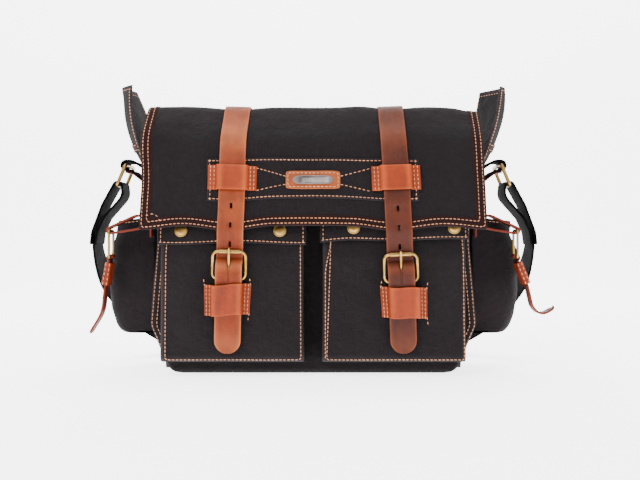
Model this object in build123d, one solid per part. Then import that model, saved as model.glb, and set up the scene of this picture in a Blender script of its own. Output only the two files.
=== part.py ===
"""A canvas camera bag with leather buckle straps, built piece by piece in millimetres.

The frame: +X is the bearer's right when the flap faces away, the flap and the two front
pockets face -Y, +Z is up, and the origin is on the floor under the middle of the main body.
"""

from build123d import *
import math
import os

# ---------------------------------------------------------------- main body
BODY_HALF_WIDTH = 172.0
BODY_FRONT_Y = -55.0
BODY_BACK_Y = 60.0
BODY_CORNER_RADIUS = 25.0
CANVAS = 4.0                      # padded canvas wall, outer cloth and lining together
FRONT_PANEL_TOP = 246.0
BACK_PANEL_TOP = 276.0
GUSSET_TOP = 236.0
WING_TOP = 318.0

# ---------------------------------------------------------------- flap
FLAP_HALF_WIDTH = 179.0
FLAP_CLOTH = 2.2
LINING_CLOTH = 1.5
FLAP_CORNER_RADIUS = 7.0
FLAP_HINGE = (58.0, 279.0)        # (y, z) of the fold line on the back panel
FLAP_TOP_Z = 287.5
FLAP_BREAK = (-66.0, 250.0)       # where the flap's front turns flat
FLAP_EDGE = (-90.0, 155.0)        # its lower edge, on the outer side

# ---------------------------------------------------------------- buckle straps
STRAP_WIDTH = 28.5
LEATHER = 3.0
STRAP_X = {"left": 85.0, "right": 88.4}
STRAP_TILT = {"left": 1.5, "right": 2.3}   # degrees: the straps stand closer together at the top
STRAP_TILT_Z = 160.0
BUCKLE_BAR_Z = {"left": 131.0, "right": 128.0}
BUCKLE_LENGTH = 28.0              # heel bar to roller bar
BUCKLE_HALF_WIDTH = 16.9
BUCKLE_WIRE = 1.6                 # radius
ROLLER_RADIUS = 2.3
BUCKLE_CORNER = 5.5
KEEPER_LEATHER = 2.5

# ---------------------------------------------------------------- pockets
POCKET_INNER_X = 9.5
POCKET_OUTER_X = 159.0
POCKET_FRONT_Y = -86.0
POCKET_BOTTOM_Z = 16.0
POCKET_TOP_Z = 150.0
POCKET_WALL = 2.5
POCKET_FLAP_HINGE = (-57.2, 190.0)
SNAP_X = {"left": (34.5, 137.0), "right": (42.0, 146.5)}
SNAP_Z = 152.0

SIDE_POCKET_Y = (-38.0, 26.0)
SIDE_POCKET_Z = (42.0, 168.0)
SIDE_POCKET_BULGE = 52.0          # how far it stands out from the side

# ---------------------------------------------------------------- shoulder strap
WEBBING_WIDTH = 38.0
WEBBING = 2.5
RING_AXIS_Z = 226.0
RING_X = 208.0
RING_WIRE = 2.0                   # radius
RING_HALF_LENGTH = 22.0
TAB_GATHERED_HALF = 8.5           # the tab is gathered here, so that it turns clear of the wing
STRAP_TUBE_RADIUS = 5.5           # the same area of section as the flat webbing
ARM_ROUTE = [(244, 2, 146), (246, 18, 114), (235, 52, 82), (214, 88, 48), (180, 112, 20)]
FLOOR_ROUTE = [(-134, 123, 7), (-78, 134, 6), (-22, 131, 6), (34, 137, 6), (88, 130, 6), (138, 122, 8)]

SIDES = {"left": -1, "right": 1}
GAP = 0.3


def mirror_x(point, sign):
    return (sign * point[0],) + tuple(point[1:])


def offset_path(points, distance):
    """Shift an open run of 2-D points to its left by distance, with mitred corners."""
    shifted = []
    for index, point in enumerate(points):
        here = Vector(*point)
        normals = []
        if index > 0:
            before = (here - Vector(*points[index - 1])).normalized()
            normals.append(Vector(-before.Y, before.X))
        if index < len(points) - 1:
            after = (Vector(*points[index + 1]) - here).normalized()
            normals.append(Vector(-after.Y, after.X))
        middle = sum(normals[1:], normals[0]).normalized()
        reach = distance / middle.dot(normals[0])
        shifted.append((here.X + middle.X * reach, here.Y + middle.Y * reach))
    return shifted


def bend_radii(points, radius, distance):
    """The corner radii of a path shifted by distance, so that the strip keeps its thickness."""
    radii = []
    for index in range(1, len(points) - 1):
        before = Vector(*points[index]) - Vector(*points[index - 1])
        after = Vector(*points[index + 1]) - Vector(*points[index])
        turns_left = before.X * after.Y - before.Y * after.X > 0
        middle_radius = radius[index - 1] if isinstance(radius, (list, tuple)) else radius
        radii.append(middle_radius - distance if turns_left else middle_radius + distance)
    return radii


def side_line(points, radius, distance):
    shifted = offset_path(points, distance)
    if len(points) == 2:
        return Polyline(*shifted)
    return FilletPolyline(*shifted, radius=bend_radii(points, radius, distance))


def strip(plane, points, radius, thickness, width, offset=0.0):
    """A flat strap bent along 2-D points of the plane, width wide along the plane's normal."""
    with BuildPart() as part:
        with BuildSketch(plane):
            with BuildLine():
                one = side_line(points, radius, offset + thickness / 2)
                two = side_line(points, radius, offset - thickness / 2)
                Line(one @ 0, two @ 0)
                Line(one @ 1, two @ 1)
            make_face()
        extrude(amount=width / 2, both=True)
    return part.part


def block(x_range, y_range, z_range):
    size = [high - low for low, high in (x_range, y_range, z_range)]
    centre = [(low + high) / 2 for low, high in (x_range, y_range, z_range)]
    return Pos(*centre) * Box(*size)


def rod(start, end, radius):
    axis = Vector(*end) - Vector(*start)
    return Plane(origin=start, z_dir=axis) * Cylinder(radius, axis.length, align=(Align.CENTER, Align.CENTER, Align.MIN))


def wire_loop(plane, corners, corner_radius, wire_radius):
    """A closed loop of round wire through the corners, given on the plane."""
    with BuildPart() as loop:
        with BuildLine(plane):
            path = FilletPolyline(*corners, radius=corner_radius, close=True)
        with BuildSketch(Plane(origin=path @ 0, z_dir=path % 0)):
            Circle(wire_radius)
        sweep(path=path)
    return loop.part


def wall_outline(top):
    """The main body's outline seen from the front, with round lower corners."""
    with BuildSketch(Plane.XZ) as outline:
        with Locations((0, top / 2)):
            Rectangle(2 * BODY_HALF_WIDTH, top)
        fillet(outline.vertices().sort_by(Axis.Y)[:2], BODY_CORNER_RADIUS)
    return outline.sketch


# ---------------------------------------------------------------- body panels
def front_panel():
    return Pos(0, BODY_FRONT_Y + CANVAS, 0) * extrude(wall_outline(FRONT_PANEL_TOP), CANVAS)


def back_panel():
    return Pos(0, BODY_BACK_Y, 0) * extrude(wall_outline(BACK_PANEL_TOP), CANVAS)


def base_panel():
    reach = BODY_HALF_WIDTH - BODY_CORNER_RADIUS
    return block((-reach, reach), (BODY_FRONT_Y + CANVAS, BODY_BACK_Y - CANVAS), (0, CANVAS))


def side_gusset(sign):
    middle = BODY_HALF_WIDTH - CANVAS / 2
    path = [(sign * (BODY_HALF_WIDTH - BODY_CORNER_RADIUS), CANVAS / 2), (sign * middle, CANVAS / 2),
            (sign * middle, GUSSET_TOP)]
    depth = BODY_BACK_Y - BODY_FRONT_Y - 2 * CANVAS
    gusset = strip(Plane.XZ, path, BODY_CORNER_RADIUS - CANVAS / 2 - 0.01, CANVAS, depth)
    return Pos(0, (BODY_FRONT_Y + BODY_BACK_Y) / 2, 0) * gusset


# front end, outer fold and back end of each wing's top, as (distance out from the middle, y)
WING_TOPS = {-1: [(205, -6), (221, 16), (211, 51)], 1: [(213, 4), (221, 18), (198, 52)]}


def top_wing(sign):
    """The loose upper end of a side gusset, folded outwards along its middle."""
    thin = 2.0

    def fold(front, tip, back, height):
        outer = [front, tip, back]
        inner = [(x - thin, y) for x, y in reversed(outer)]
        points = [(sign * x, y, height) for x, y in outer + inner]
        return Wire.make_polygon([Vector(*point) for point in points], close=True)

    low = fold((172, BODY_FRONT_Y + 6), (177, 2), (172, BODY_BACK_Y - 5), GUSSET_TOP + GAP)
    high = fold(*WING_TOPS[sign], WING_TOP)
    return Solid.make_loft([low, high], ruled=True)


def wing_band(sign):
    """The sewn band that joins a wing to its gusset."""
    low = BODY_HALF_WIDTH + 0.1
    return block(sorted((sign * low, sign * (low + 1.6))), (-26, 30), (GUSSET_TOP - 9, GUSSET_TOP - 0.5))


# ---------------------------------------------------------------- padded inside
INSERT_WALL = 9.0
INSERT_HALF = 160.0
INSERT_Y = (-49.0, 54.0)
INSERT_TOP = 222.0
DIVIDER_X = 52.0


def padded_insert():
    outer = block((-INSERT_HALF, INSERT_HALF), INSERT_Y, (CANVAS + 0.5, INSERT_TOP))
    inner_x = INSERT_HALF - INSERT_WALL
    inner_y = (INSERT_Y[0] + INSERT_WALL, INSERT_Y[1] - INSERT_WALL)
    lower_edges = outer.edges().filter_by(Axis.Y).sort_by(Axis.Z)[:2]
    outer = fillet(lower_edges, 14)
    return outer - block((-inner_x, inner_x), inner_y, (CANVAS + INSERT_WALL, INSERT_TOP + 5))


def divider(sign):
    y_range = (INSERT_Y[0] + INSERT_WALL + GAP, INSERT_Y[1] - INSERT_WALL - GAP)
    x = sign * DIVIDER_X
    board = block((x - 4, x + 4), y_range, (CANVAS + INSERT_WALL + GAP, INSERT_TOP - 22))
    return fillet(board.edges().filter_by(Axis.Y).sort_by(Axis.Z)[2:], 3)


# ---------------------------------------------------------------- flap
FLAP_PATH = [(56.0, 280.0), (44.0, FLAP_TOP_Z), (-40.0, FLAP_TOP_Z), FLAP_BREAK, FLAP_EDGE]
FLAP_RADII = [10.0, 20.0, 60.0]
FLAP_SLOPE = (Vector(0, *FLAP_BREAK) - Vector(0, *FLAP_EDGE)).normalized()
FLAP_OUTWARD = Vector(0, -FLAP_SLOPE.Z, FLAP_SLOPE.Y)


def flap_sheet(thickness, depth_below, half_width):
    """A layer of the flap; depth_below is how far its middle lies under the outer face."""
    sheet = strip(Plane.YZ, FLAP_PATH, FLAP_RADII, thickness, 2 * half_width, offset=depth_below)
    edge = sheet.faces().sort_by(Axis.Z)[0]
    corners = [item for item in sheet.edges() if item.length < 2 * thickness
               and item.center().Z < edge.center().Z + thickness]
    corners = [item for item in corners if abs(item.center().X) > half_width - 0.1]
    return fillet(corners, FLAP_CORNER_RADIUS)


def flap_canvas():
    return flap_sheet(FLAP_CLOTH, FLAP_CLOTH / 2, FLAP_HALF_WIDTH)


def flap_lining():
    return flap_sheet(LINING_CLOTH, FLAP_CLOTH + LINING_CLOTH / 2 + 0.02, FLAP_HALF_WIDTH - 3)


def flap_face(height, outward=0.0, x=0.0):
    """A plane on the flap's flat front: local x to the right, local y up the flap."""
    rise = (height - FLAP_EDGE[1]) / FLAP_SLOPE.Z
    origin = Vector(x, *FLAP_EDGE) + FLAP_SLOPE * rise + FLAP_OUTWARD * outward
    return Plane(origin=origin, x_dir=(1, 0, 0), z_dir=FLAP_OUTWARD)


BAND_HALF_WIDTH = 110.0
BAND_HEIGHT = 42.0
BAND_Z = 206.0
BAND_CLOTH = 1.6
LABEL_SIZE = (57.0, 20.0)


def raised_patch(height, outward, width, tall, thickness, radius):
    plane = flap_face(height, outward)
    return extrude(plane * RectangleRounded(width, tall, radius), thickness)


def flap_band():
    return raised_patch(BAND_Z, 0.05, 2 * BAND_HALF_WIDTH, BAND_HEIGHT, BAND_CLOTH, 3)


def label_patch():
    return raised_patch(BAND_Z, BAND_CLOTH + 0.1, *LABEL_SIZE, 1.8, 4)


def label_plate():
    return raised_patch(BAND_Z, BAND_CLOTH + 1.95, 38, 9, 0.8, 4)


# ---------------------------------------------------------------- one buckle strap
def lean(side):
    """The turn that brings a strap's parts from the middle plane to their leaning place."""
    tilt = -SIDES[side] * STRAP_TILT[side]
    return Pos(SIDES[side] * STRAP_X[side], 0, STRAP_TILT_Z) * Rot(0, tilt, 0) * Pos(0, 0, -STRAP_TILT_Z)


def heel_point(side):
    return (POCKET_FRONT_Y - 5.5, BUCKLE_BAR_Z[side] - BUCKLE_LENGTH)


def bar_point(side):
    return (POCKET_FRONT_Y - 8.5, BUCKLE_BAR_Z[side])


def flap_strap(side):
    """Leather strap from behind the flap's top edge down to the buckle's roller bar."""
    lift = LEATHER / 2 + BAND_CLOTH + 0.3
    bar_y, bar_z = bar_point(side)
    on_flap = offset_path(FLAP_PATH, -lift)
    path = [(40.0, FLAP_TOP_Z + lift), on_flap[2], on_flap[3], (on_flap[4][0] - 0.6, FLAP_EDGE[1] + 2),
            (bar_y + 4 + LEATHER / 2, bar_z + 13), (bar_y + 4.05 + LEATHER / 2, bar_z + 1)]
    return strip(Plane.YZ, path, [21, 60, 25, 14], LEATHER, STRAP_WIDTH)


def strap_tail(side):
    """The strap's end: out over the heel bar, through the lower keeper, to a round tip."""
    heel_y, heel_z = heel_point(side)
    bar_y, bar_z = bar_point(side)
    back_y = bar_y + 4 + LEATHER / 2
    path = [(back_y, bar_z - 0.3), (back_y - 0.6, bar_z - 5), (heel_y - 6.4, heel_z + 14.5), (heel_y - 6.3, heel_z),
            (heel_y - 2.2, heel_z - 14), (POCKET_FRONT_Y - 6.4, heel_z - 37), (POCKET_FRONT_Y - 3.6, 26)]
    tail = strip(Plane.YZ, path, [2.5, 4.0, 9.0, 14.0, 30.0], LEATHER, STRAP_WIDTH)
    tip = [item for item in tail.edges() if abs(item.length - LEATHER) < 0.2 and item.center().Z < 30]
    tail = fillet(tip, STRAP_WIDTH / 2 - 1.5)
    slot = block((-2.0, 2.0), (-110, -84), (heel_z - 7, heel_z + 20.5))
    return tail - slot


def keeper(plane, width, tall, over, thickness):
    """A leather loop sewn down at both ends, with its middle raised over the strap."""
    inner = STRAP_WIDTH / 2 + GAP
    foot = inner + 1.4 * thickness
    shoulder = inner + 0.55 * thickness
    path = [(-width / 2, 0), (-foot, 0), (-shoulder, -over), (shoulder, -over), (foot, 0), (width / 2, 0)]
    return strip(plane, path, 1.3, thickness, tall)


def upper_keeper():
    rise = (209.0 - FLAP_EDGE[1]) / FLAP_SLOPE.Z
    lift = BAND_CLOTH + KEEPER_LEATHER / 2 + 0.55
    origin = Vector(0, *FLAP_EDGE) + FLAP_SLOPE * rise + FLAP_OUTWARD * lift
    plane = Plane(origin=origin, x_dir=(1, 0, 0), z_dir=FLAP_SLOPE)
    return keeper(plane, 52, 25, LEATHER + 0.95, KEEPER_LEATHER)


def lower_keeper(side):
    heel_z = heel_point(side)[1]
    origin = (0, POCKET_FRONT_Y - KEEPER_LEATHER / 2 - 0.1, heel_z - 21.5)
    plane = Plane(origin=origin, x_dir=(1, 0, 0), z_dir=(0, 0, 1))
    return keeper(plane, 48, 32, 12.9, KEEPER_LEATHER)


def chape(side):
    """The doubled leather that holds the heel bar and is sewn to the pocket."""
    heel_y, heel_z = heel_point(side)
    across = 19.0
    eye = Pos(0, heel_y, heel_z) * Rot(0, 90, 0) * Cylinder(4.0, across)
    legs = block((-across / 2, across / 2), (heel_y + 1.4, POCKET_FRONT_Y - 0.1), (heel_z - 36, heel_z))
    bore = Pos(0, heel_y, heel_z) * Rot(0, 90, 0) * Cylinder(BUCKLE_WIRE + GAP, across + 2)
    slot = block((-2.3, 2.3), (heel_y - 8, heel_y + 8), (heel_z - 4.2, heel_z + 6))
    return eye + legs - bore - slot


def buckle_frame(side):
    """A rounded rectangle of brass wire, its lower side being the heel bar."""
    heel = Vector(0, *heel_point(side))
    bar = Vector(0, *bar_point(side))
    rise = bar - heel
    plane = Plane(origin=heel + rise / 2, x_dir=(1, 0, 0), z_dir=Vector(1, 0, 0).cross(rise))
    half_rise = rise.length / 2
    corners = [(-BUCKLE_HALF_WIDTH, -half_rise), (BUCKLE_HALF_WIDTH, -half_rise),
               (BUCKLE_HALF_WIDTH, half_rise), (-BUCKLE_HALF_WIDTH, half_rise)]
    return wire_loop(plane, corners, BUCKLE_CORNER, BUCKLE_WIRE)


def buckle_roller(side):
    bar_y, bar_z = bar_point(side)
    outer = Cylinder(ROLLER_RADIUS, 21)
    bore = Cylinder(BUCKLE_WIRE + 0.1, 30)
    return Pos(0, bar_y, bar_z) * Rot(0, 90, 0) * (outer - bore)


def buckle_prong(side):
    heel_y, heel_z = heel_point(side)
    bar_y, bar_z = bar_point(side)
    radius = 1.3
    base = (0, heel_y - 1.6 - radius, heel_z + 1)
    tip = (0, bar_y - ROLLER_RADIUS - 0.3 - radius, bar_z + 1)
    over = Vector(*tip) + (Vector(*tip) - Vector(*base)).normalized() * 1.5
    shaft = rod(base, tuple(over), radius) + Pos(*over) * Sphere(radius)
    eye = Pos(0, heel_y, heel_z) * Rot(0, 90, 0) * Cylinder(3.7, 3)
    bore = Pos(0, heel_y, heel_z) * Rot(0, 90, 0) * Cylinder(BUCKLE_WIRE + 0.1, 8)
    return shaft + eye - bore


# ---------------------------------------------------------------- front pockets
def pocket_profile(inset):
    """Side view of a front pocket, drawn in (y, z); inset moves every wall inwards."""
    front = POCKET_FRONT_Y + inset
    back = BODY_FRONT_Y - 0.1 if inset == 0 else BODY_FRONT_Y + 5
    bottom = POCKET_BOTTOM_Z + inset
    top = POCKET_TOP_Z if inset == 0 else POCKET_TOP_Z + 10
    lean_back = 8.0 if inset == 0 else 8.0 * 32 / 22
    with BuildSketch(Plane.YZ) as side:
        with BuildLine():
            Polyline((back, bottom), (front, bottom), (front, POCKET_TOP_Z - 22), (front + lean_back, top),
                     (back, top), close=True)
        make_face()
        fillet(side.vertices().sort_by(Axis.X)[:2].sort_by(Axis.Y)[:1], 9 - inset)
    return side.sketch


def front_pocket(sign):
    middle = (POCKET_INNER_X + POCKET_OUTER_X) / 2
    half = (POCKET_OUTER_X - POCKET_INNER_X) / 2
    outer = extrude(pocket_profile(0), half, both=True)
    inner = extrude(pocket_profile(POCKET_WALL), half - POCKET_WALL, both=True)
    return Pos(sign * middle, 0, 0) * (outer - inner)


POCKET_FLAP_PATH = [(-57.2, 189.0), (-57.2, 182.0), (-80.6, 158.0), (-83.7, 141.0)]


def pocket_flap(sign):
    middle = (POCKET_INNER_X + POCKET_OUTER_X) / 2
    width = POCKET_OUTER_X - POCKET_INNER_X + 5
    return Pos(sign * middle, 0, 0) * strip(Plane.YZ, POCKET_FLAP_PATH, [4, 20], 2.2, width)


def snap_plane(side, x, outward):
    low = Vector(0, *POCKET_FLAP_PATH[3])
    high = Vector(0, *POCKET_FLAP_PATH[2])
    up = (high - low).normalized()
    normal = Vector(0, -up.Z, up.Y)
    origin = low + up * ((SNAP_Z - low.Z) / up.Z) + normal * outward + Vector(SIDES[side] * x, 0, 0)
    return Plane(origin=origin, x_dir=(1, 0, 0), z_dir=normal)


def snap_caps(side):
    caps = []
    for x in SNAP_X[side]:
        dome = extrude(snap_plane(side, x, 1.15) * Circle(6.6), 1.9)
        caps.append(fillet(dome.faces().sort_by(Axis.Y)[0].edges(), 1.2))
    return Compound(children=caps)


def snap_studs():
    studs = []
    for side in SIDES:
        for x in SNAP_X[side]:
            studs.append(extrude(snap_plane(side, x, -1.4) * Circle(3.0), -1.1))
    return Compound(children=studs)


# ---------------------------------------------------------------- side pouches
def pouch_solid(sign, inset):
    wall = BODY_HALF_WIDTH + 0.2
    reach = wall + SIDE_POCKET_BULGE
    low, high = SIDE_POCKET_Z
    rim = reach - 13
    if inset:
        wall, high = wall - 6, high + 10
        reach, rim, low = reach - inset, rim - inset - 1.8, low + inset
    with BuildPart() as pouch:
        with BuildSketch(Plane.XZ):
            with BuildLine():
                Polyline((sign * wall, low), (sign * (reach - 6), low), (sign * reach, low + 34),
                         (sign * (reach - 2), high - 38), (sign * rim, high), (sign * wall, high), close=True)
            make_face()
        half = (SIDE_POCKET_Y[1] - SIDE_POCKET_Y[0]) / 2 - inset
        extrude(amount=half, both=True)
        outer_edges = pouch.edges().filter_by(Axis.Y, reverse=True)
        outer_edges = [item for item in outer_edges if abs(item.center().X) > wall + 30]
        fillet(outer_edges, 12 - inset)
    return Pos(0, sum(SIDE_POCKET_Y) / 2, 0) * pouch.part


def side_pocket(sign):
    return pouch_solid(sign, 0) - pouch_solid(sign, 2.5)


SIDE_STRAP_Y = -51.0
SIDE_STRAP_WIDTH = 14.0
SIDE_LEATHER = 2.2
SIDE_RING = (217.0, 138.5)        # (x, z) of the small ring's middle
SIDE_RING_HALF = 14.5
SIDE_RING_WIRE = 1.3              # radius
SIDE_WRAP = SIDE_RING_WIRE + 0.4 + SIDE_LEATHER / 2


def side_strap(sign):
    """A leather strap sewn to the side at both ends, its bend holding the small brass ring."""
    x, z = SIDE_RING
    top = z + SIDE_RING_HALF
    root = BODY_HALF_WIDTH + 0.2 + SIDE_LEATHER / 2
    path = [(root, 184), (root, 170), (190, 169), (x + SIDE_WRAP, top + SIDE_WRAP - 0.5),
            (x + SIDE_WRAP, top - SIDE_WRAP - 0.5), (192, 154), (root, 158), (root, 146)]
    path = [mirror_x(point, sign) for point in path]
    radii = [3, 12, SIDE_WRAP - 0.4, SIDE_WRAP - 0.4, 12, 3]
    return Pos(0, SIDE_STRAP_Y, 0) * strip(Plane.XZ, path, radii, SIDE_LEATHER, SIDE_STRAP_WIDTH)


def side_ring(sign):
    """A small brass rectangle of wire, standing across the strap."""
    x, z = SIDE_RING
    half_width, half_height = SIDE_STRAP_WIDTH / 2 + 3.2, SIDE_RING_HALF
    plane = Plane(origin=(sign * x, SIDE_STRAP_Y, z), x_dir=(0, 1, 0), z_dir=(1, 0, 0))
    corners = [(-half_width, -half_height), (half_width, -half_height), (half_width, half_height),
               (-half_width, half_height)]
    return wire_loop(plane, corners, 2.8, SIDE_RING_WIRE)


TAIL_ROUTE = {"left": [(217.6, 121.6), (222.5, 92.0), (225.0, 66.0), (239.0, 43.0)],
              "right": [(218.0, 121.6), (229.0, 94.0), (234.0, 72.0), (243.0, 62.0), (257.0, 70.0)]}
TAIL_RADII = {"left": [60, 40], "right": [60, 12, 10]}


def side_tail(side):
    """The loose end below the ring: an eye round its lower bar, then the hanging strap."""
    sign = SIDES[side]
    x, z = SIDE_RING
    path = [mirror_x(point, sign) for point in TAIL_ROUTE[side]]
    tail = strip(Plane.XZ, path, TAIL_RADII[side], SIDE_LEATHER, SIDE_STRAP_WIDTH)
    centre = Pos(sign * x, 0, z - SIDE_RING_HALF) * Rot(90, 0, 0)
    eye = centre * Cylinder(SIDE_WRAP + SIDE_LEATHER / 2, SIDE_STRAP_WIDTH)
    bore = centre * Cylinder(SIDE_RING_WIRE + 0.2, SIDE_STRAP_WIDTH + 2)
    return Pos(0, SIDE_STRAP_Y, 0) * (tail + eye - bore)


def side_keeper(side):
    """The sewn leather sleeve round the top of the hanging strap."""
    sign = SIDES[side]
    top, bottom = [Vector(sign * x, 0, z) for x, z in TAIL_ROUTE[side][:2]]
    along = (bottom - top).normalized()
    plane = Plane(origin=top + along * 15 + Vector(0, SIDE_STRAP_Y, 0), x_dir=(0, 1, 0), z_dir=along)
    outer = plane * Box(SIDE_STRAP_WIDTH + 5.2, SIDE_LEATHER + 5.2, 24)
    outer = fillet(outer.edges().filter_by(lambda item: abs(item.length - 24) < 0.01), 2)
    return outer - plane * Box(SIDE_STRAP_WIDTH + 0.8, SIDE_LEATHER + 1.2, 40)


# ---------------------------------------------------------------- shoulder strap
def tab_anchor(sign):
    x = BODY_HALF_WIDTH + 0.1
    return block(sorted((sign * x, sign * (x + 2.4))), (-WEBBING_WIDTH / 2, WEBBING_WIDTH / 2),
                 (199, GUSSET_TOP - 9.3))


def tab_loop(sign):
    """The webbing loop round the upper bar of the strap's ring."""
    outer = RING_WIRE + GAP + WEBBING
    root = BODY_HALF_WIDTH + 3.0
    eye = Pos(sign * RING_X, 0, RING_AXIS_Z) * Rot(90, 0, 0) * Cylinder(outer, WEBBING_WIDTH)
    half, gathered = WEBBING_WIDTH / 2, TAB_GATHERED_HALF
    outline = [(root, -gathered), (root + 9, -gathered), (root + 14, -half), (RING_X, -half),
               (RING_X, half), (root + 14, half), (root + 9, gathered), (root, gathered)]
    with BuildSketch(Plane.XY.offset(RING_AXIS_Z - WEBBING)) as flat:
        with BuildLine():
            Polyline(*[mirror_x(point, sign) for point in outline], close=True)
        make_face()
    neck = extrude(flat.sketch, 2 * WEBBING)
    bore = Pos(sign * RING_X, 0, RING_AXIS_Z) * Rot(90, 0, 0) * Cylinder(RING_WIRE + 0.1, WEBBING_WIDTH + 2)
    return eye + neck - bore


def strap_ring(sign):
    top = Vector(sign * RING_X, 0, RING_AXIS_Z)
    bottom = Vector(sign * (RING_X + 9), 0, RING_AXIS_Z - 22)
    down = bottom - top
    plane = Plane(origin=(top + bottom) / 2, x_dir=(0, 1, 0), z_dir=down.cross(Vector(0, 1, 0)))
    half = down.length / 2
    corners = [(-RING_HALF_LENGTH, -half), (RING_HALF_LENGTH, -half), (RING_HALF_LENGTH, half),
               (-RING_HALF_LENGTH, half)]
    return wire_loop(plane, corners, 2.6, RING_WIRE)


def strap_end(sign):
    """The doubled end of the shoulder strap, folded over the ring's lower bar."""
    bar_x, bar_z = RING_X + 9, RING_AXIS_Z - 22
    wrap = RING_WIRE + GAP + WEBBING / 2
    path = [(241.6, 150.5), (233, 168), (bar_x - wrap - 1.6, 192), (bar_x - wrap, bar_z + wrap),
            (bar_x + wrap, bar_z + wrap), (bar_x + wrap + 14, 182), (244.6, 150.5)]
    path = [mirror_x(point, sign) for point in path]
    radii = [10, 14, wrap - 0.1, wrap - 0.1, 18]
    return strip(Plane.XZ, path, radii, WEBBING, WEBBING_WIDTH)


def strap_webbing():
    """The free length of the strap, lying in a shallow bow behind the bag."""
    left = [mirror_x(point, -1) for point in ARM_ROUTE]
    right = [mirror_x(point, 1) for point in reversed(ARM_ROUTE)]
    route = [Vector(*point) for point in left + FLOOR_ROUTE + right]
    runs = [(b - a).length for a, b in zip(route, route[1:])]
    radii = []
    for index in range(1, len(route) - 1):
        turn = (route[index] - route[index - 1]).get_angle(route[index + 1] - route[index])
        radii.append(0.45 * min(runs[index - 1], runs[index]) / math.tan(math.radians(turn / 2)))
    path = FilletPolyline(*route, radius=radii)
    tube = sweep(Plane(origin=path @ 0, z_dir=path % 0) * Circle(STRAP_TUBE_RADIUS), path=path)
    print("shoulder strap radii", [round(radius) for radius in radii])
    print("shoulder strap length", round(path.length), "volume ratio",
          round(tube.volume / (path.length * math.pi * STRAP_TUBE_RADIUS**2), 4))
    return tube


# ---------------------------------------------------------------- rear pocket and its zip
REAR_HALF_WIDTH = 128.0
REAR_Z = (52.0, 208.0)
ZIP_Z = 214.0
ZIP_HALF_LENGTH = 118.0


def rear_pocket():
    face = extrude(Plane(origin=(0, BODY_BACK_Y + 0.1, sum(REAR_Z) / 2), x_dir=(1, 0, 0), z_dir=(0, 1, 0))
                   * RectangleRounded(2 * REAR_HALF_WIDTH, REAR_Z[1] - REAR_Z[0], 10), 2.2)
    return face


def zip_tape():
    return block((-REAR_HALF_WIDTH + 4, REAR_HALF_WIDTH - 4), (BODY_BACK_Y + 0.1, BODY_BACK_Y + 0.9),
                 (REAR_Z[1] + 0.5, ZIP_Z + 9))


def zip_teeth():
    return block((-ZIP_HALF_LENGTH, ZIP_HALF_LENGTH), (BODY_BACK_Y + 1.0, BODY_BACK_Y + 2.6), (ZIP_Z - 2, ZIP_Z + 2))


def zip_slider():
    x = ZIP_HALF_LENGTH - 12
    y = BODY_BACK_Y
    shell = block((x - 6, x + 6), (y + 3.0, y + 5.4), (ZIP_Z - 4.5, ZIP_Z + 4.5))
    lugs = block((x - 3, x + 4), (y + 5.3, y + 9.0), (ZIP_Z - 2.2, ZIP_Z + 2.2))
    bore = Pos(x, y + 7.2, ZIP_Z) * Cylinder(1.0, 12)
    gap = block((x - 4, x + 5), (y + 5.6, y + 10), (ZIP_Z - 1.3, ZIP_Z + 1.3))
    return shell + (lugs - gap) - bore


def zip_pull():
    x = ZIP_HALF_LENGTH - 12
    y = BODY_BACK_Y + 7.2
    pin = Pos(x, y, ZIP_Z) * Cylinder(0.9, 4.8)
    plate = block((x - 22, x - 0.2), (y - 0.8, y + 0.8), (ZIP_Z - 1.0, ZIP_Z + 1.0))
    tag = block((x - 40, x - 14), (y - 1.0, y + 1.0), (ZIP_Z - 4.5, ZIP_Z + 4.5))
    return pin + plate + tag


# ---------------------------------------------------------------- every node
def pair(make):
    """The same piece on both sides, as one node of two solids."""
    return Compound(children=[make(sign) for sign in SIDES.values()])


def make_nodes():
    nodes = {
        "front_panel": front_panel(),
        "back_panel": back_panel(),
        "base_panel": base_panel(),
        "padded_insert": padded_insert(),
        "wing_bands": pair(wing_band),
        "tab_anchors": pair(tab_anchor),
        "strap_rings": pair(strap_ring),
        "side_rings": pair(side_ring),
        "buckle_chapes": Compound(children=[lean(side) * chape(side) for side, sign in SIDES.items()]),
        "flap_canvas": flap_canvas(),
        "flap_lining": flap_lining(),
        "flap_band": flap_band(),
        "label_patch": label_patch(),
        "label_plate": label_plate(),
        "snap_studs": snap_studs(),
        "shoulder_strap_webbing": strap_webbing(),
        "rear_pocket": rear_pocket(),
        "rear_zip_tape": zip_tape(),
        "rear_zip_teeth": zip_teeth(),
        "rear_zip_slider": zip_slider(),
        "rear_zip_pull": zip_pull(),
    }
    for side, sign in SIDES.items():
        nodes[side + "_gusset"] = side_gusset(sign)
        nodes[side + "_wing"] = top_wing(sign)
        nodes[side + "_divider"] = divider(sign)
        nodes[side + "_front_pocket"] = front_pocket(sign)
        nodes[side + "_pocket_flap"] = pocket_flap(sign)
        nodes[side + "_snap_caps"] = snap_caps(side)
        nodes[side + "_side_pocket"] = side_pocket(sign)
        nodes[side + "_side_strap"] = side_strap(sign)
        nodes[side + "_side_tail"] = side_tail(side)
        nodes[side + "_side_keeper"] = side_keeper(side)
        nodes[side + "_tab_loop"] = tab_loop(sign)
        nodes[side + "_strap_end"] = strap_end(sign)
        nodes[side + "_buckle_strap"] = lean(side) * flap_strap(side)
        nodes[side + "_strap_tail"] = lean(side) * strap_tail(side)
        nodes[side + "_upper_keeper"] = lean(side) * upper_keeper()
        nodes[side + "_lower_keeper"] = lean(side) * lower_keeper(side)
        nodes[side + "_buckle_frame"] = lean(side) * buckle_frame(side)
        nodes[side + "_buckle_roller"] = lean(side) * buckle_roller(side)
        nodes[side + "_buckle_prong"] = lean(side) * buckle_prong(side)
    return nodes


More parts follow.
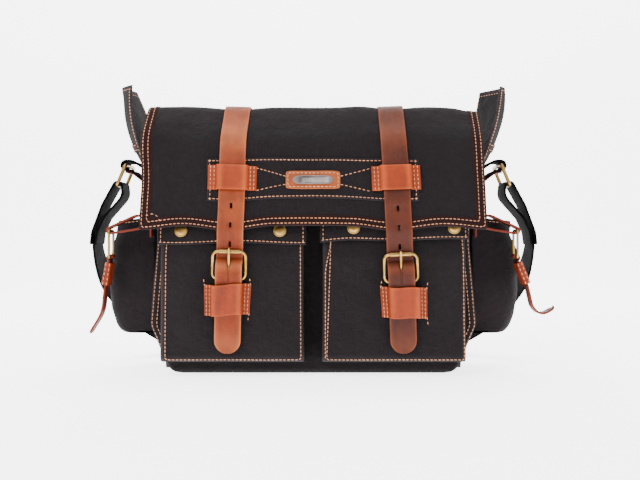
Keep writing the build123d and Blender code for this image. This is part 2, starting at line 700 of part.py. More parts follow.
os.makedirs("parts", exist_ok=True)
for name, shape in make_nodes().items():
    export_step(shape, "parts/" + name + ".step")
    print(name)
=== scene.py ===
"""A canvas camera bag with leather buckle straps, built around its CAD frame.

Shapes are drawn in millimetres, as a pattern cutter would, and become metres when a mesh is made.
+X is to the right of the flap, -Y is its front, +Z is up.
"""

import math

import bmesh
import bpy
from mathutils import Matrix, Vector, noise


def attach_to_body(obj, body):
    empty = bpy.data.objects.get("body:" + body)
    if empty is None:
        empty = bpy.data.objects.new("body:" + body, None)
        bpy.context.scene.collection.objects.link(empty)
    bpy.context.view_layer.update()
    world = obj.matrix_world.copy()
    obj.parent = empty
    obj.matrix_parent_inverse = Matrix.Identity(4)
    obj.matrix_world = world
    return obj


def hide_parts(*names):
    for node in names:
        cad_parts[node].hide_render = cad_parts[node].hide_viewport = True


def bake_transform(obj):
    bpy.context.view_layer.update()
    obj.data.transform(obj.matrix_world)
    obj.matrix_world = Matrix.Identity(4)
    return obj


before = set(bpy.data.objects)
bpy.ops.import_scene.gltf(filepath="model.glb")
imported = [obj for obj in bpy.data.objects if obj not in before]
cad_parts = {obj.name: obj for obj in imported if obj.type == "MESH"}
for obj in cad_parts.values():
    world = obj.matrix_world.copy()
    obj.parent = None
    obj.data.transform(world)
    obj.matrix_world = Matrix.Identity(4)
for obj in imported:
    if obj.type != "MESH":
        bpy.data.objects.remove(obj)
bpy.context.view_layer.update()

bl_info = {
    "name": "Canvas camera bag",
    "version": (1, 0, 0),
    "blender": (4, 5, 0),
    "location": "View3D > Sidebar > Camera bag",
    "description": "Builds the cloth, leather, brass and stitching of a camera bag around its frame",
    "category": "Add Mesh",
}

MM = 0.001
SIDES = {"left": -1, "right": 1}


# ---------------------------------------------------------------- sizes and colours
class BagSizes(bpy.types.PropertyGroup):
    """Sizes that a maker would change, in millimetres."""

    stitch_pitch: bpy.props.FloatProperty(
        name="Stitch pitch", description="From one stitch to the next, in millimetres", default=4.1, min=1.5)
    stitch_length: bpy.props.FloatProperty(
        name="Stitch length", description="The visible length of one stitch, in millimetres", default=3.0, min=1.0)
    thread_radius: bpy.props.FloatProperty(
        name="Thread radius", description="Half the thread's thickness, in millimetres", default=0.41, min=0.1)
    strap_width: bpy.props.FloatProperty(
        name="Buckle strap width", description="Width of the two buckle straps, in millimetres", default=27.6)
    leather: bpy.props.FloatProperty(
        name="Strap leather", description="Thickness of the strap leather, in millimetres", default=3.0)
    cloth: bpy.props.FloatProperty(
        name="Canvas", description="Thickness of the canvas with its backing, in millimetres", default=2.2)
    webbing_width: bpy.props.FloatProperty(
        name="Webbing width", description="Width of the shoulder strap, in millimetres", default=38.0)
    webbing: bpy.props.FloatProperty(
        name="Webbing", description="Thickness of the shoulder strap, in millimetres", default=2.5)


def colour(name, description, value):
    return bpy.props.FloatVectorProperty(
        name=name, description=description, default=value, subtype="COLOR", size=3, min=0, max=1)


class BagColours(bpy.types.PropertyGroup):
    """Base colours of the cloth, leather, thread and metal."""

    canvas: colour("Canvas", "Washed black cotton canvas", (0.0088, 0.0062, 0.0072))
    hem: colour("Hem", "Folded hem with its red-brown cast", (0.0135, 0.0020, 0.0014))
    webbing: colour("Webbing", "Ribbed black webbing", (0.0009, 0.0009, 0.0010))
    lining: colour("Lining", "Brushed inside cloth", (0.045, 0.036, 0.032))
    thread: colour("Thread", "Tan sewing thread", (0.62, 0.28, 0.15))
    orange_leather: colour("Orange leather", "The left strap", (0.125, 0.0150, 0.0009))
    brown_leather: colour("Brown leather", "The right strap", (0.038, 0.0050, 0.0012))
    keeper_leather: colour("Keeper leather", "Sewn leather loops", (0.130, 0.0120, 0.0009))
    red_leather: colour("Red leather", "Thin side straps", (0.055, 0.0040, 0.0012))
    label_leather: colour("Label leather", "The label on the flap", (0.19, 0.040, 0.0085))
    brass: colour("Brass", "Antique brass fittings", (0.40, 0.235, 0.066))
    pewter: colour("Pewter", "The label's small plate", (0.20, 0.17, 0.165))


# ---------------------------------------------------------------- shader building
class Shade:
    """A new material's node tree, with short calls for the nodes that the finishes share."""

    def __init__(self, name):
        self.material = bpy.data.materials.new(name)
        self.material.use_nodes = True
        self.tree = self.material.node_tree
        self.surface = self.tree.nodes["Principled BSDF"]

    def node(self, kind, **settings):
        made = self.tree.nodes.new(kind)
        for key, value in settings.items():
            setattr(made, key, value)
        return made

    def feed(self, socket, value):
        if isinstance(value, bpy.types.NodeSocket):
            self.tree.links.new(value, socket)
        elif value is not None:
            socket.default_value = value

    def math(self, operation, one, two=None, three=None):
        made = self.node("ShaderNodeMath", operation=operation)
        for socket, value in zip(made.inputs, (one, two, three)):
            self.feed(socket, value)
        return made.outputs[0]

    def coordinates(self, kind):
        return self.node("ShaderNodeTexCoord").outputs[kind]

    def stretched(self, source, scale):
        mapping = self.node("ShaderNodeMapping")
        self.feed(mapping.inputs["Vector"], source)
        mapping.inputs["Scale"].default_value = scale
        return mapping.outputs[0]

    def noise(self, source, scale, detail=3.0, roughness=0.55):
        made = self.node("ShaderNodeTexNoise")
        self.feed(made.inputs["Vector"], source)
        made.inputs["Scale"].default_value = scale
        made.inputs["Detail"].default_value = detail
        made.inputs["Roughness"].default_value = roughness
        return made.outputs[0]

    def remap(self, value, low, high, to_low=0.0, to_high=1.0):
        made = self.node("ShaderNodeMapRange")
        for socket, number in zip(made.inputs, (value, low, high, to_low, to_high)):
            self.feed(socket, number)
        return made.outputs[0]

    def mix(self, factor, one, two):
        made = self.node("ShaderNodeMix", data_type="RGBA")
        self.feed(made.inputs[0], factor)
        self.feed(made.inputs[6], one if isinstance(one, bpy.types.NodeSocket) else (*one, 1))
        self.feed(made.inputs[7], two if isinstance(two, bpy.types.NodeSocket) else (*two, 1))
        return made.outputs[2]

    # The pale amount of each point: real rubbing and bends, and on the buckle straps painted highlights.
    def wear_and_highlight(self):
        return self.node("ShaderNodeAttribute", attribute_name="wear_and_highlight").outputs["Fac"]

    def bump(self, height, distance, strength=1.0, under=None):
        made = self.node("ShaderNodeBump")
        made.inputs["Strength"].default_value = strength
        made.inputs["Distance"].default_value = distance
        self.feed(made.inputs["Height"], height)
        if under is not None:
            self.feed(made.inputs["Normal"], under)
        return made.outputs[0]

    def weave(self, source, pitch):
        """Over and under threads of a plain weave: a height from 0 to 1."""
        split = self.node("ShaderNodeSeparateXYZ")
        self.feed(split.inputs[0], source)
        ridges = []
        steps = []
        for axis in range(2):
            turns = self.math("DIVIDE", split.outputs[axis], pitch)
            ridges.append(self.math("ABSOLUTE", self.math("SINE", self.math("MULTIPLY", turns, math.pi))))
            steps.append(self.math("FLOOR", turns))
        parity = self.math("PINGPONG", self.math("ADD", *steps), 1.0)
        over = self.math("MULTIPLY", ridges[0], parity)
        under = self.math("MULTIPLY", ridges[1], self.math("SUBTRACT", 1.0, parity))
        return self.math("ADD", over, under)

    def done(self, base, roughness, normal, **fixed):
        self.feed(self.surface.inputs["Base Color"], base)
        self.feed(self.surface.inputs["Roughness"], roughness)
        self.feed(self.surface.inputs["Normal"], normal)
        for name, value in fixed.items():
            self.surface.inputs[name].default_value = value
        return self.material


def scaled(rgb, factor):
    return tuple(min(1.0, channel * factor) for channel in rgb)


def canvas_finish(name, rgb, pitch=0.00095):
    """Heavy plain weave, washed paler in patches and along folds, with slubs and lint."""
    shade = Shade(name)
    uv = shade.coordinates("UV")
    place = shade.coordinates("Object")
    weave = shade.weave(uv, pitch)
    washed = shade.remap(shade.noise(place, 9.0, 4.0), 0.35, 0.75)
    slub = shade.noise(shade.stretched(uv, (60, 900, 1)), 1.0, 2.0)
    slub_up = shade.noise(shade.stretched(uv, (900, 60, 1)), 1.0, 2.0)
    threads = shade.remap(shade.math("ADD", slub, slub_up), 0.75, 1.25)
    mottle = shade.remap(shade.noise(place, 300.0, 3.0, 0.7), 0.3, 0.72)
    base = shade.mix(washed, scaled(rgb, 0.65), scaled(rgb, 1.7))
    base = shade.mix(shade.math("MULTIPLY", mottle, 0.5), base, scaled(rgb, 2.4))
    base = shade.mix(shade.math("MULTIPLY", threads, 0.7), base, scaled(rgb, 2.9))
    base = shade.mix(shade.math("MULTIPLY", weave, 0.35), scaled(rgb, 0.45), base)
    base = shade.mix(shade.math("MULTIPLY", shade.wear_and_highlight(), 0.75), base, scaled(rgb, 4.0))
    lint = shade.remap(shade.noise(place, 420.0, 2.0), 0.73, 0.80)
    base = shade.mix(shade.math("MULTIPLY", lint, 0.35), base, scaled(rgb, 7.0))
    creases = shade.noise(place, 24.0, 5.0, 0.6)
    normal = shade.bump(creases, 0.012, 0.7)
    normal = shade.bump(shade.math("ADD", weave, shade.math("MULTIPLY", threads, 0.6)), 0.00028, 0.8, normal)
    return shade.done(base, shade.remap(washed, 0, 1, 0.80, 0.93), normal,
                      **{"Sheen Weight": 0.025, "Sheen Roughness": 0.5, "Specular IOR Level": 0.12})


def leather_finish(name, rgb, pale):
    """Oiled pull-up leather: cloudy, darker in the pores, pale where it bends and along its edges."""
    shade = Shade(name)
    place = shade.coordinates("Object")
    clouds = shade.remap(shade.noise(place, 34.0, 5.0, 0.6), 0.3, 0.72)
    streaks = shade.remap(shade.noise(shade.stretched(place, (160, 160, 26)), 1.0, 4.0), 0.35, 0.7)
    base = shade.mix(clouds, scaled(rgb, 0.55), scaled(rgb, 1.35))
    base = shade.mix(shade.math("MULTIPLY", streaks, 0.45), base, scaled(rgb, 1.75))
    # The pale mix takes the real paling at edges and bends and, on the buckle straps, painted highlights.
    wear_and_highlight = shade.math("MULTIPLY", shade.wear_and_highlight(), shade.remap(clouds, 0, 1, 0.55, 1.0))
    base = shade.mix(wear_and_highlight, base, pale)
    pores = shade.node("ShaderNodeTexVoronoi")
    pores.inputs["Scale"].default_value = 1150.0
    shade.feed(pores.inputs["Vector"], place)
    grain = shade.remap(pores.outputs[0], 0.05, 0.75)
    base = shade.mix(shade.remap(grain, 0, 0.35, 0.35, 0.0), base, scaled(rgb, 0.35))
    scuffs = shade.noise(place, 210.0, 4.0)
    normal = shade.bump(shade.noise(place, 60.0, 3.0), 0.0012, 0.4)
    normal = shade.bump(shade.math("ADD", grain, shade.math("MULTIPLY", scuffs, 0.5)), 0.00022, 0.7, normal)
    return shade.done(base, shade.remap(scuffs, 0.3, 0.7, 0.44, 0.64), normal, **{"Specular IOR Level": 0.2})


def webbing_finish(name, rgb):
    """Ribbed webbing: fine herringbone ribs along the strap and a bound edge."""
    shade = Shade(name)
    uv = shade.coordinates("UV")
    split = shade.node("ShaderNodeSeparateXYZ")
    shade.feed(split.inputs[0], uv)
    across = shade.math("PINGPONG", split.outputs[0], 0.004)
    slanted = shade.math("ADD", split.outputs[1], across)
    ribs = shade.math("ABSOLUTE", shade.math("SINE", shade.math("MULTIPLY", slanted, math.pi / 0.0016)))
    yarns = shade.math("ABSOLUTE", shade.math("SINE", shade.math("MULTIPLY", split.outputs[0], math.pi / 0.0013)))
    height = shade.math("MULTIPLY", ribs, shade.remap(yarns, 0, 1, 0.5, 1))
    dust = shade.remap(shade.noise(shade.coordinates("Object"), 45.0, 4.0), 0.35, 0.7)
    base = shade.mix(height, scaled(rgb, 0.5), scaled(rgb, 1.8))
    base = shade.mix(shade.math("MULTIPLY", dust, 0.3), base, scaled(rgb, 3.2))
    normal = shade.bump(height, 0.0004, 0.9)
    return shade.done(base, shade.remap(dust, 0, 1, 0.8, 0.92), normal, **{"Specular IOR Level": 0.04})


def thread_finish(name, rgb):
    shade = Shade(name)
    place = shade.coordinates("Object")
    shift = shade.remap(shade.noise(place, 55.0, 3.0), 0.3, 0.7)
    twist = shade.noise(place, 2600.0, 2.0)
    base = shade.mix(shift, scaled(rgb, 0.62), scaled(rgb, 1.15))
    normal = shade.bump(twist, 0.0002, 0.8)
    return shade.done(base, shade.remap(twist, 0.3, 0.7, 0.5, 0.72), normal)


def metal_finish(name, rgb, tarnish=0.5):
    """Cast brass: bright where it is rubbed, brown and duller in cloudy patches."""
    shade = Shade(name)
    place = shade.coordinates("Object")
    patches = shade.remap(shade.noise(place, 120.0, 5.0, 0.65), 0.42, 0.68)
    scratches = shade.noise(shade.stretched(place, (500, 2600, 900)), 1.0, 3.0)
    base = shade.mix(shade.math("MULTIPLY", patches, tarnish), rgb, scaled(rgb, 0.3))
    normal = shade.bump(shade.math("ADD", scratches, patches), 0.00008, 0.5)
    rough = shade.math("ADD", shade.remap(patches, 0, 1, 0.24, 0.5), shade.math("MULTIPLY", scratches, 0.08))
    return shade.done(base, rough, normal, **{"Metallic": 1.0})


PAPER_GLOW = 3.4


def paper_finish(name):
    """The pale studio sweep."""
    shade = Shade(name)
    fibres = shade.noise(shade.coordinates("Object"), 3.0, 2.0)
    base = shade.mix(fibres, (0.86, 0.86, 0.86), (0.90, 0.90, 0.90))
    shade.surface.inputs["Emission Color"].default_value = (1, 1, 1, 1)
    shade.surface.inputs["Emission Strength"].default_value = PAPER_GLOW
    return shade.done(base, 0.9, shade.bump(fibres, 0.0005, 0.1))


FINISHES = {}


def finish(name):
    """The named finish, made the first time that it is asked for."""
    if name not in FINISHES:
        colours = bpy.context.scene.bag_colours
        makers = {
            "canvas": lambda: canvas_finish("black_canvas", colours.canvas),
            "hem": lambda: canvas_finish("hem_canvas", colours.hem),
            "lining": lambda: canvas_finish("brushed_lining", colours.lining, 0.0006),
            "webbing": lambda: webbing_finish("black_webbing", colours.webbing),
            "thread": lambda: thread_finish("tan_thread", colours.thread),
            "left": lambda: leather_finish("orange_strap_leather", colours.orange_leather, (0.42, 0.115, 0.036)),
            "right": lambda: leather_finish("brown_strap_leather", colours.brown_leather, (0.185, 0.042, 0.013)),
            "keeper": lambda: leather_finish("keeper_leather", colours.keeper_leather, (0.44, 0.075, 0.012)),
            "red": lambda: leather_finish("red_side_leather", colours.red_leather, (0.17, 0.020, 0.0055)),
            "label": lambda: leather_finish("label_leather", colours.label_leather, (0.46, 0.14, 0.045)),
            "brass": lambda: metal_finish("antique_brass", colours.brass),
            "pewter": lambda: metal_finish("dull_pewter", colours.pewter, 0.3),
            "paper": lambda: paper_finish("studio_paper"),
        }
        FINISHES[name] = makers[name]()
    return FINISHES[name]


# ---------------------------------------------------------------- lines and meshes
class Track:
    """A flat line with round corners, walked by its length in millimetres."""

    def __init__(self, corners, radii):
        points = [Vector(corners[0])]
        for before, here, after, radius in zip(corners, corners[1:], corners[2:], radii):
            points += self.round_corner(Vector(before), Vector(here), Vector(after), radius)
        points.append(Vector(corners[-1]))
        self.points = points
        self.marks = [0.0]
        for one, two in zip(points, points[1:]):
            self.marks.append(self.marks[-1] + (two - one).length)
        self.length = self.marks[-1]

    @staticmethod
    def round_corner(before, here, after, radius):
        into = (here - before).normalized()
        out = (after - here).normalized()
        turn = into.angle_signed(out)
        if abs(turn) < 1e-4:
            return [here]
        start = here - into * radius * math.tan(abs(turn) / 2)
        side = Vector((-into.y, into.x)) * (1 if turn < 0 else -1)
        centre = start + side * radius
        steps = max(3, int(abs(turn) / 0.09))
        arc = []
        for step in range(steps + 1):
            angle = -turn * step / steps
            spoke = start - centre
            arc.append(centre + Vector((spoke.x * math.cos(angle) - spoke.y * math.sin(angle),
                                        spoke.x * math.sin(angle) + spoke.y * math.cos(angle))))
        return arc

    def at(self, distance):
        """The point and the direction at a distance from the start."""
        distance = min(max(distance, 0.0), self.length)
        index = 0
        while index < len(self.marks) - 2 and self.marks[index + 1] < distance:
            index += 1
        one, two = self.points[index], self.points[index + 1]
        share = (distance - self.marks[index]) / max(1e-9, (two - one).length)
        return one.lerp(two, share), (two - one).normalized()


def spread(low, high, step):
    """Evenly spaced values from low to high, about step apart."""
    count = max(1, round((high - low) / step))
    return [low + (high - low) * index / count for index in range(count + 1)]


def crumple(point, size, amount, seed=0.0):
    """A smooth random height at a point, the same on every run."""
    return amount * noise.noise(Vector(point) / size + Vector((seed, 0.37 * seed, 1.7 * seed)))


def ease(value, low, high):
    share = min(max((value - low) / (high - low), 0.0), 1.0)
    return share * share * (3 - 2 * share)


def make_piece(name, points, faces, uvs, look, wear_and_highlight=None):
    """A mesh object in metres from points in millimetres, with outward faces, its UV map and wear."""
    mesh = bpy.data.meshes.new(name)
    mesh.from_pydata([Vector(point) * MM for point in points], [], faces)
    layer = mesh.uv_layers.new(name="UVMap")
    for loop in mesh.loops:
        layer.data[loop.index].uv = uvs[loop.vertex_index]
    pale_amount = mesh.attributes.new("wear_and_highlight", "FLOAT", "POINT")
    pale_amount.data.foreach_set("value", wear_and_highlight or [0.0] * len(points))
    sheet = bmesh.new()
    sheet.from_mesh(mesh)
    bmesh.ops.recalc_face_normals(sheet, faces=sheet.faces)
    sheet.to_mesh(mesh)
    sheet.free()
    mesh.shade_smooth()
    mesh.materials.append(finish(look))
    piece = bpy.data.objects.new(name, mesh)
    bpy.context.scene.collection.objects.link(piece)
    return piece


def layer(name, place, across, along, thickness, facing, look, wear_and_highlight=None, cut=None):
    """A closed layer of cloth or leather.

    place(u, v) is its outer face, its inner face lies thickness under it, and its rim is rounded.
    facing is the way that the outer face looks at its middle; cut(u, v) says which cells are holes.
    """
    rows, columns = len(along), len(across)
    outer = [[Vector(place(u, v)) for u in across] for v in along]

    def slope(i, j):
        over = outer[i][min(j + 1, columns - 1)] - outer[i][max(j - 1, 0)]
        up = outer[min(i + 1, rows - 1)][j] - outer[max(i - 1, 0)][j]
        return over.cross(up).normalized()

    normals = [[slope(i, j) for j in range(columns)] for i in range(rows)]
    if normals[rows // 2][columns // 2].dot(Vector(facing)) < 0:
        normals = [[-normal for normal in row] for row in normals]
    edge = [[outer[i][j].copy() for j in range(columns)] for i in range(rows)]
    for i in range(rows):
        for j in range(columns):
            if i in (0, rows - 1) or j in (0, columns - 1):
                near = edge[min(max(i, 1), rows - 2)][min(max(j, 1), columns - 2)]
                inwards = near - edge[i][j]
                outer[i][j] = edge[i][j] + inwards * min(0.45, thickness * 0.3 / max(0.01, inwards.length))
    flat = [point for row in outer for point in row]
    inner = [outer[i][j] - normals[i][j] * thickness for i in range(rows) for j in range(columns)]
    points = flat + inner
    total = rows * columns

    gone = set()
    if cut:
        gone = {(i, j) for i in range(rows - 1) for j in range(columns - 1)
                if cut((across[j] + across[j + 1]) / 2, (along[i] + along[i + 1]) / 2)}
    faces = []
    for i in range(rows - 1):
        for j in range(columns - 1):
            if (i, j) in gone:
                continue
            here = i * columns + j
            quad = (here, here + 1, here + columns + 1, here + columns)
            faces.append(quad)
            faces.append(tuple(total + index for index in reversed(quad)))
            for di, dj, one, two in ((-1, 0, quad[0], quad[1]), (0, 1, quad[1], quad[2]),
                                     (1, 0, quad[2], quad[3]), (0, -1, quad[3], quad[0])):
                if (i + di, j + dj) in gone:
                    faces.append((two, one, one + total, two + total))

    ring = [(0, j) for j in range(columns)] + [(i, columns - 1) for i in range(1, rows)]
    ring += [(rows - 1, j) for j in range(columns - 2, -1, -1)] + [(i, 0) for i in range(rows - 2, 0, -1)]
    rim = {}
    for i, j in ring:
        rim[(i, j)] = len(points)
        points.append(edge[i][j] - normals[i][j] * thickness / 2)
    for one, two in zip(ring, ring[1:] + ring[:1]):
        a, b = one[0] * columns + one[1], two[0] * columns + two[1]
        faces.append((b, a, rim[one], rim[two]))
        faces.append((b + total, rim[two], rim[one], a + total))

    uvs = []
    travelled = [0.0] * columns
    for i in range(rows):
        along_row = 0.0
        for j in range(columns):
            if j:
                along_row += (outer[i][j] - outer[i][j - 1]).length
            if i:
                travelled[j] += (outer[i][j] - outer[i - 1][j]).length
            uvs.append((along_row * MM, travelled[j] * MM))
    uvs = uvs + uvs + [uvs[i * columns + j] for i, j in ring]
    pale_amount = [wear_and_highlight(u, v) if wear_and_highlight else 0.0 for v in along for u in across]
    pale_amount = pale_amount + pale_amount + [max(0.55, pale_amount[i * columns + j]) if wear_and_highlight else 0.0 for i, j in ring]
    return make_piece(name, points, faces, uvs, look, pale_amount)


def ribbon(name, line, width, thickness, facing, look, side=None, step=3.0, crown=0.25, tip=0.0, wear_and_highlight=None,
           slots=(), start_tip=0.0):
    """A strap along a line of points; side(distance) gives the way its width runs.

    tip is the radius of its rounded end, and slots are (from, to, half width) along its length.
    """
    marks = [0.0]
    for one, two in zip(line, line[1:]):
        marks.append(marks[-1] + (Vector(two) - Vector(one)).length)
    length = marks[-1]

    def centre(distance):
        index = 0
        while index < len(marks) - 2 and marks[index + 1] < distance:
            index += 1
        share = (distance - marks[index]) / max(1e-9, marks[index + 1] - marks[index])
        return Vector(line[index]).lerp(Vector(line[index + 1]), min(max(share, 0.0), 1.0))

    def half(distance):
        narrow = width / 2
        for radius, left in ((tip, length - distance), (start_tip, distance)):
            if radius and left < radius:
                narrow = min(narrow, width / 2 * math.sqrt(max(0.02, 1 - (1 - left / radius) ** 2)))
        return narrow

    way = side or (lambda distance: Vector((0, 1, 0)))
    out = Vector(facing)

    def place(u, distance):
        droop = out * (-crown * u ** 4)
        return centre(distance) + way(distance) * u * half(distance) + droop

    across = [-1, -0.95, -0.85, -0.6, -0.3, 0, 0.3, 0.6, 0.85, 0.95, 1]
    along = spread(0, length, step)
    if tip:
        along += [length - tip * share for share in (0.02, 0.06, 0.14, 0.26, 0.42, 0.62, 0.85)]
    for low, high, slot_half in slots:
        across += [-slot_half / (width / 2), slot_half / (width / 2)]
        along = [mark for mark in along if not low - 0.6 < mark < high + 0.6] + [low, (low + high) / 2, high]
    across = sorted(set(round(u, 4) for u in across))
    along = sorted(set(round(mark, 3) for mark in along))

    def in_slot(u, distance):
        return any(low < distance < high and abs(u) < slot_half / (width / 2) for low, high, slot_half in slots)

    return layer(name, place, across, along, thickness, facing, look, wear_and_highlight, in_slot if slots else None)


def attach(piece, body, look, *nodes):
    """Ride on a body, stand for its CAD nodes and name the finish."""
    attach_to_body(piece, body)
    if nodes:
        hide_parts(*nodes)
    return piece


SEAMS = {}


def sew(body, points):
    """Keeps one row of stitches, points in millimetres, for the stitching operator."""
    SEAMS.setdefault(body, []).append([Vector(point) * MM for point in points])


def refinish(look, *nodes):
    """A carried-over CAD node gets the named finish."""
    for node in nodes:
        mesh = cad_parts[node].data
        mesh.materials.clear()
        mesh.materials.append(finish(look))


# ---------------------------------------------------------------- the main body
BODY_HALF = 172.0
BODY_FRONT = -55.0
BODY_BACK = 60.0
EDGE_ROUND = 7.0
FRONT_TOP = 246.0
BACK_TOP = 276.0


# One side's outline as (x, z): a rounded bottom, a slant, the kink of the seam, then nearly upright.
BODY_OUTLINE = Track([(140.0, 0.4), (154.0, 1.5), (162.5, 22.0), (175.5, 52.0), (168.0, 140.0), (170.0, 190.0),
                      (172.0, 276.0)], [14, 12, 12, 60, 60])


def body_half(z):
    """Half the body's width at a height."""
    for one, two in zip(BODY_OUTLINE.points, BODY_OUTLINE.points[1:]):
        if two.y >= z:
            share = (z - one.y) / max(0.001, two.y - one.y)
            return one.x + (two.x - one.x) * min(1.0, max(0.0, share))
    return BODY_HALF


def body_face(x, z, back=False):
    """A point of the front or back panel, softly filled out and rounded at its edges."""
    half = body_half(z)
    inset = min(half - abs(x), z)
    rounding = 0.0
    if inset < EDGE_ROUND:
        rounding = EDGE_ROUND - math.sqrt(max(0.0, EDGE_ROUND ** 2 - (EDGE_ROUND - inset) ** 2))
    fullness = 2.2 * (1 - (x / BODY_HALF) ** 2) * math.sin(math.pi * min(z / 250, 1))
    swell = fullness + crumple((x, 40 if back else 0, z), 48, 1.5, 3.0) * ease(inset, 0, 30)
    if back:
        return Vector((x, BODY_BACK - rounding + swell * 0.7, z))
    return Vector((x, BODY_FRONT + rounding - swell * 0.4, z))


def build_body():
    def front(u, z):
        return body_face(u * body_half(z), z)

    def back(u, z):
        return body_face(u * body_half(z), z, back=True)

    across = sorted(set(spread(-1, 1, 0.03) + [-0.985, 0.985, -0.96, 0.96]))
    rise = [0.0, 0.6, 1.8, 3.6, 6, 9, 13, 18, 24]
    attach(layer("front_panel_cloth", front, across, rise + spread(30, FRONT_TOP, 6), 3.4, (0, -1, 0), "canvas",
                 wear_and_highlight=lambda u, z: 0.3 * ease(abs(u), 0.97, 1)), "root", "canvas", "front_panel")
    attach(layer("back_panel_cloth", back, across, rise + spread(30, BACK_TOP, 6), 3.4, (0, 1, 0), "canvas",
                 wear_and_highlight=lambda u, z: 0.3 * ease(abs(u), 0.97, 1)), "root", "canvas", "back_panel")
    reach = BODY_OUTLINE.points[0].x + 3
    attach(layer("base_cloth", lambda x, y: (x, y, 0.35 + 0.9 * ease(abs(x), reach - 10, reach)),
                 spread(-reach, reach, 9), spread(BODY_FRONT + 4, BODY_BACK - 4, 6), 3.2, (0, 0, -1), "canvas"),
           "root", "canvas", "base_panel")
    for side, sign in SIDES.items():
        build_gusset(side, sign)
        for inset in (2.6, 8.0):
            sew("root", [body_face(sign * (body_half(z) - inset), z) + Vector((0, -0.35, 0))
                         for z in spread(24, 200, 4)])
            sew("root", [body_face(sign * (body_half(z) - inset), z, True) + Vector((0, 0.35, 0))
                         for z in spread(10, BACK_TOP - 8, 4)])
    for inset in (5.0, 11.0):
        sew("root", [body_face(x, BACK_TOP - inset, True) + Vector((0, 0.35, 0)) for x in spread(-160, 160, 4)])


def build_gusset(side, sign):
    track = BODY_OUTLINE
    middle = (BODY_FRONT + BODY_BACK) / 2
    reach = (BODY_BACK - BODY_FRONT) / 2 - EDGE_ROUND + 0.4

    def place(u, distance):
        point, way = track.at(distance)
        y = middle + u * reach
        sink = -1.6 * (1 - u * u) * ease(point.y, 20, 90) + crumple((sign * 50, y, point.y), 38, 1.3)
        fade = ease(distance, 18, 50)
        return Vector((sign * (point.x + sink * fade), y, point.y))

    attach(layer(side + "_gusset_cloth", place, spread(-1, 1, 0.1), spread(0, track.length - 40, 5), 3.4,
                 (sign, 0, 0), "canvas", wear_and_highlight=lambda u, v: 0.25 * ease(abs(u), 0.93, 1)),
           "root", "canvas", side + "_gusset")


# ---------------------------------------------------------------- the folded-out wings
WING_TOP = 318.0
WING_FOOT = 200.0
WING_LOW = [(170.5, -47.0), (172.0, 2.0), (170.0, 55.0)]
WING_FLARE = [(190.0, -40.0), (202.0, -16.0), (184.0, 53.0)]
WING_HIGH = {"left": [(205.0, -6.0), (221.0, 16.0), (211.0, 51.0)],
             "right": [(213.0, 4.0), (221.0, 18.0), (198.0, 52.0)]}


def build_wing(side, sign):
    low = Track(WING_LOW, [14])
    flare = Track(WING_FLARE, [10])
    high = Track(WING_HIGH[side], [5])

    def place(u, v):
        """Swings out from the side of the body, through the flare, to the folded top edge."""
        one, middle, two = (track.at(u * track.length)[0] for track in (low, flare, high))
        bend = (middle - one * 0.36 - two * 0.16) / 0.48
        flat = one * (1 - v) ** 2 + bend * 2 * v * (1 - v) + two * v * v
        z = WING_FOOT + (WING_TOP - WING_FOOT) * v
        sag = 1.6 * math.sin(math.pi * v) * math.sin(math.pi * u) + crumple((sign * u * 60, 7, v * 80), 26, 1.2)
        return Vector((sign * (flat.x - sag * 0.6), flat.y, z))

    def hem(u, v):
        return 0.6 * ease(v, 0.94, 1) + 0.6 * ease(abs(u - 0.5), 0.46, 0.5)

    attach(layer(side + "_wing_cloth", place, spread(0, 1, 0.033), spread(0, 1, 0.04), 1.8, (sign, 0, 0), "canvas",
                 wear_and_highlight=hem), "root", "canvas", side + "_wing")
    outwards = Vector((sign * 0.35, -0.25, 0))
    inwards = Vector((-sign * 2.1, -0.1, 0))
    for lift in (outwards, inwards):
        sew("root", [place(u, 0.955) + lift for u in spread(0.04, 0.96, 0.04)])
        sew("root", [place(0.05, v) + lift for v in spread(0.12, 0.95, 0.05)])
        sew("root", [place(0.95, v) + lift for v in spread(0.12, 0.95, 0.05)])
    outward = Vector((sign * 1.2, 0, 0))
    band = layer(side + "_wing_band", lambda u, v: place(0.05 + 0.9 * u, 0.335 + 0.075 * v) + outward,
                 spread(0, 1, 0.05), spread(0, 1, 0.2), 1.1, (sign, 0, 0), "hem")
    attach(band, "root", "hem", "wing_bands")
    for v in (0.35, 0.395):
        sew("root", [place(u, v) + Vector((sign * 1.5, -0.3, 0)) for u in spread(0.06, 0.94, 0.03)])


# ---------------------------------------------------------------- the flap
FLAP_HALF = 179.0
FLAP_TRACK = Track([(56.0, 280.0), (44.0, 287.5), (-40.0, 287.5), (-66.0, 250.0), (-90.0, 155.0)], [10, 20, 60])
FLAP_LENGTH = FLAP_TRACK.length
HEM_WIDTH = 10.8
STRAP_X = {-1: 85.0, 1: 88.4}
STRAP_LEAN = {-1: math.radians(1.5), 1: math.radians(2.3)}
STRAP_LEAN_Z = 160.0


def strap_x(sign, z):
    """The middle of a buckle strap at a height: the straps stand closer together at the top."""
    return sign * (STRAP_X[sign] - (z - STRAP_LEAN_Z) * math.tan(STRAP_LEAN[sign]))


def flap_relief(x, distance):
    """How far the flap stands out from its pattern: pulled in under the straps, loose between them."""
    down = distance / FLAP_LENGTH
    z = FLAP_TRACK.at(distance)[0].y
    pull = sum(math.exp(-((x - strap_x(sign, z)) / 21) ** 2) for sign in SIDES.values())
    loose = 1.5 * math.sin(x / 39 + 0.6) * math.sin(down * 5.2 + 0.5) + crumple((x, 11, distance), 52, 2.4, 5.0)
    edge = 2.4 * ease(down, 0.72, 1) * math.cos(x / 28.5)
    return (1 - 0.8 * min(pull, 1)) * (loose + edge + 0.9) - 1.7 * pull * (1 - ease(down, 0.45, 0.7))


def flap_drop(x):
    """The lower edge hangs a little lower at its corners and beside the straps."""
    across = max(abs(x), 40.5)
    return 2.3 * math.cos((across - 86.5) / 92 * 2 * math.pi)


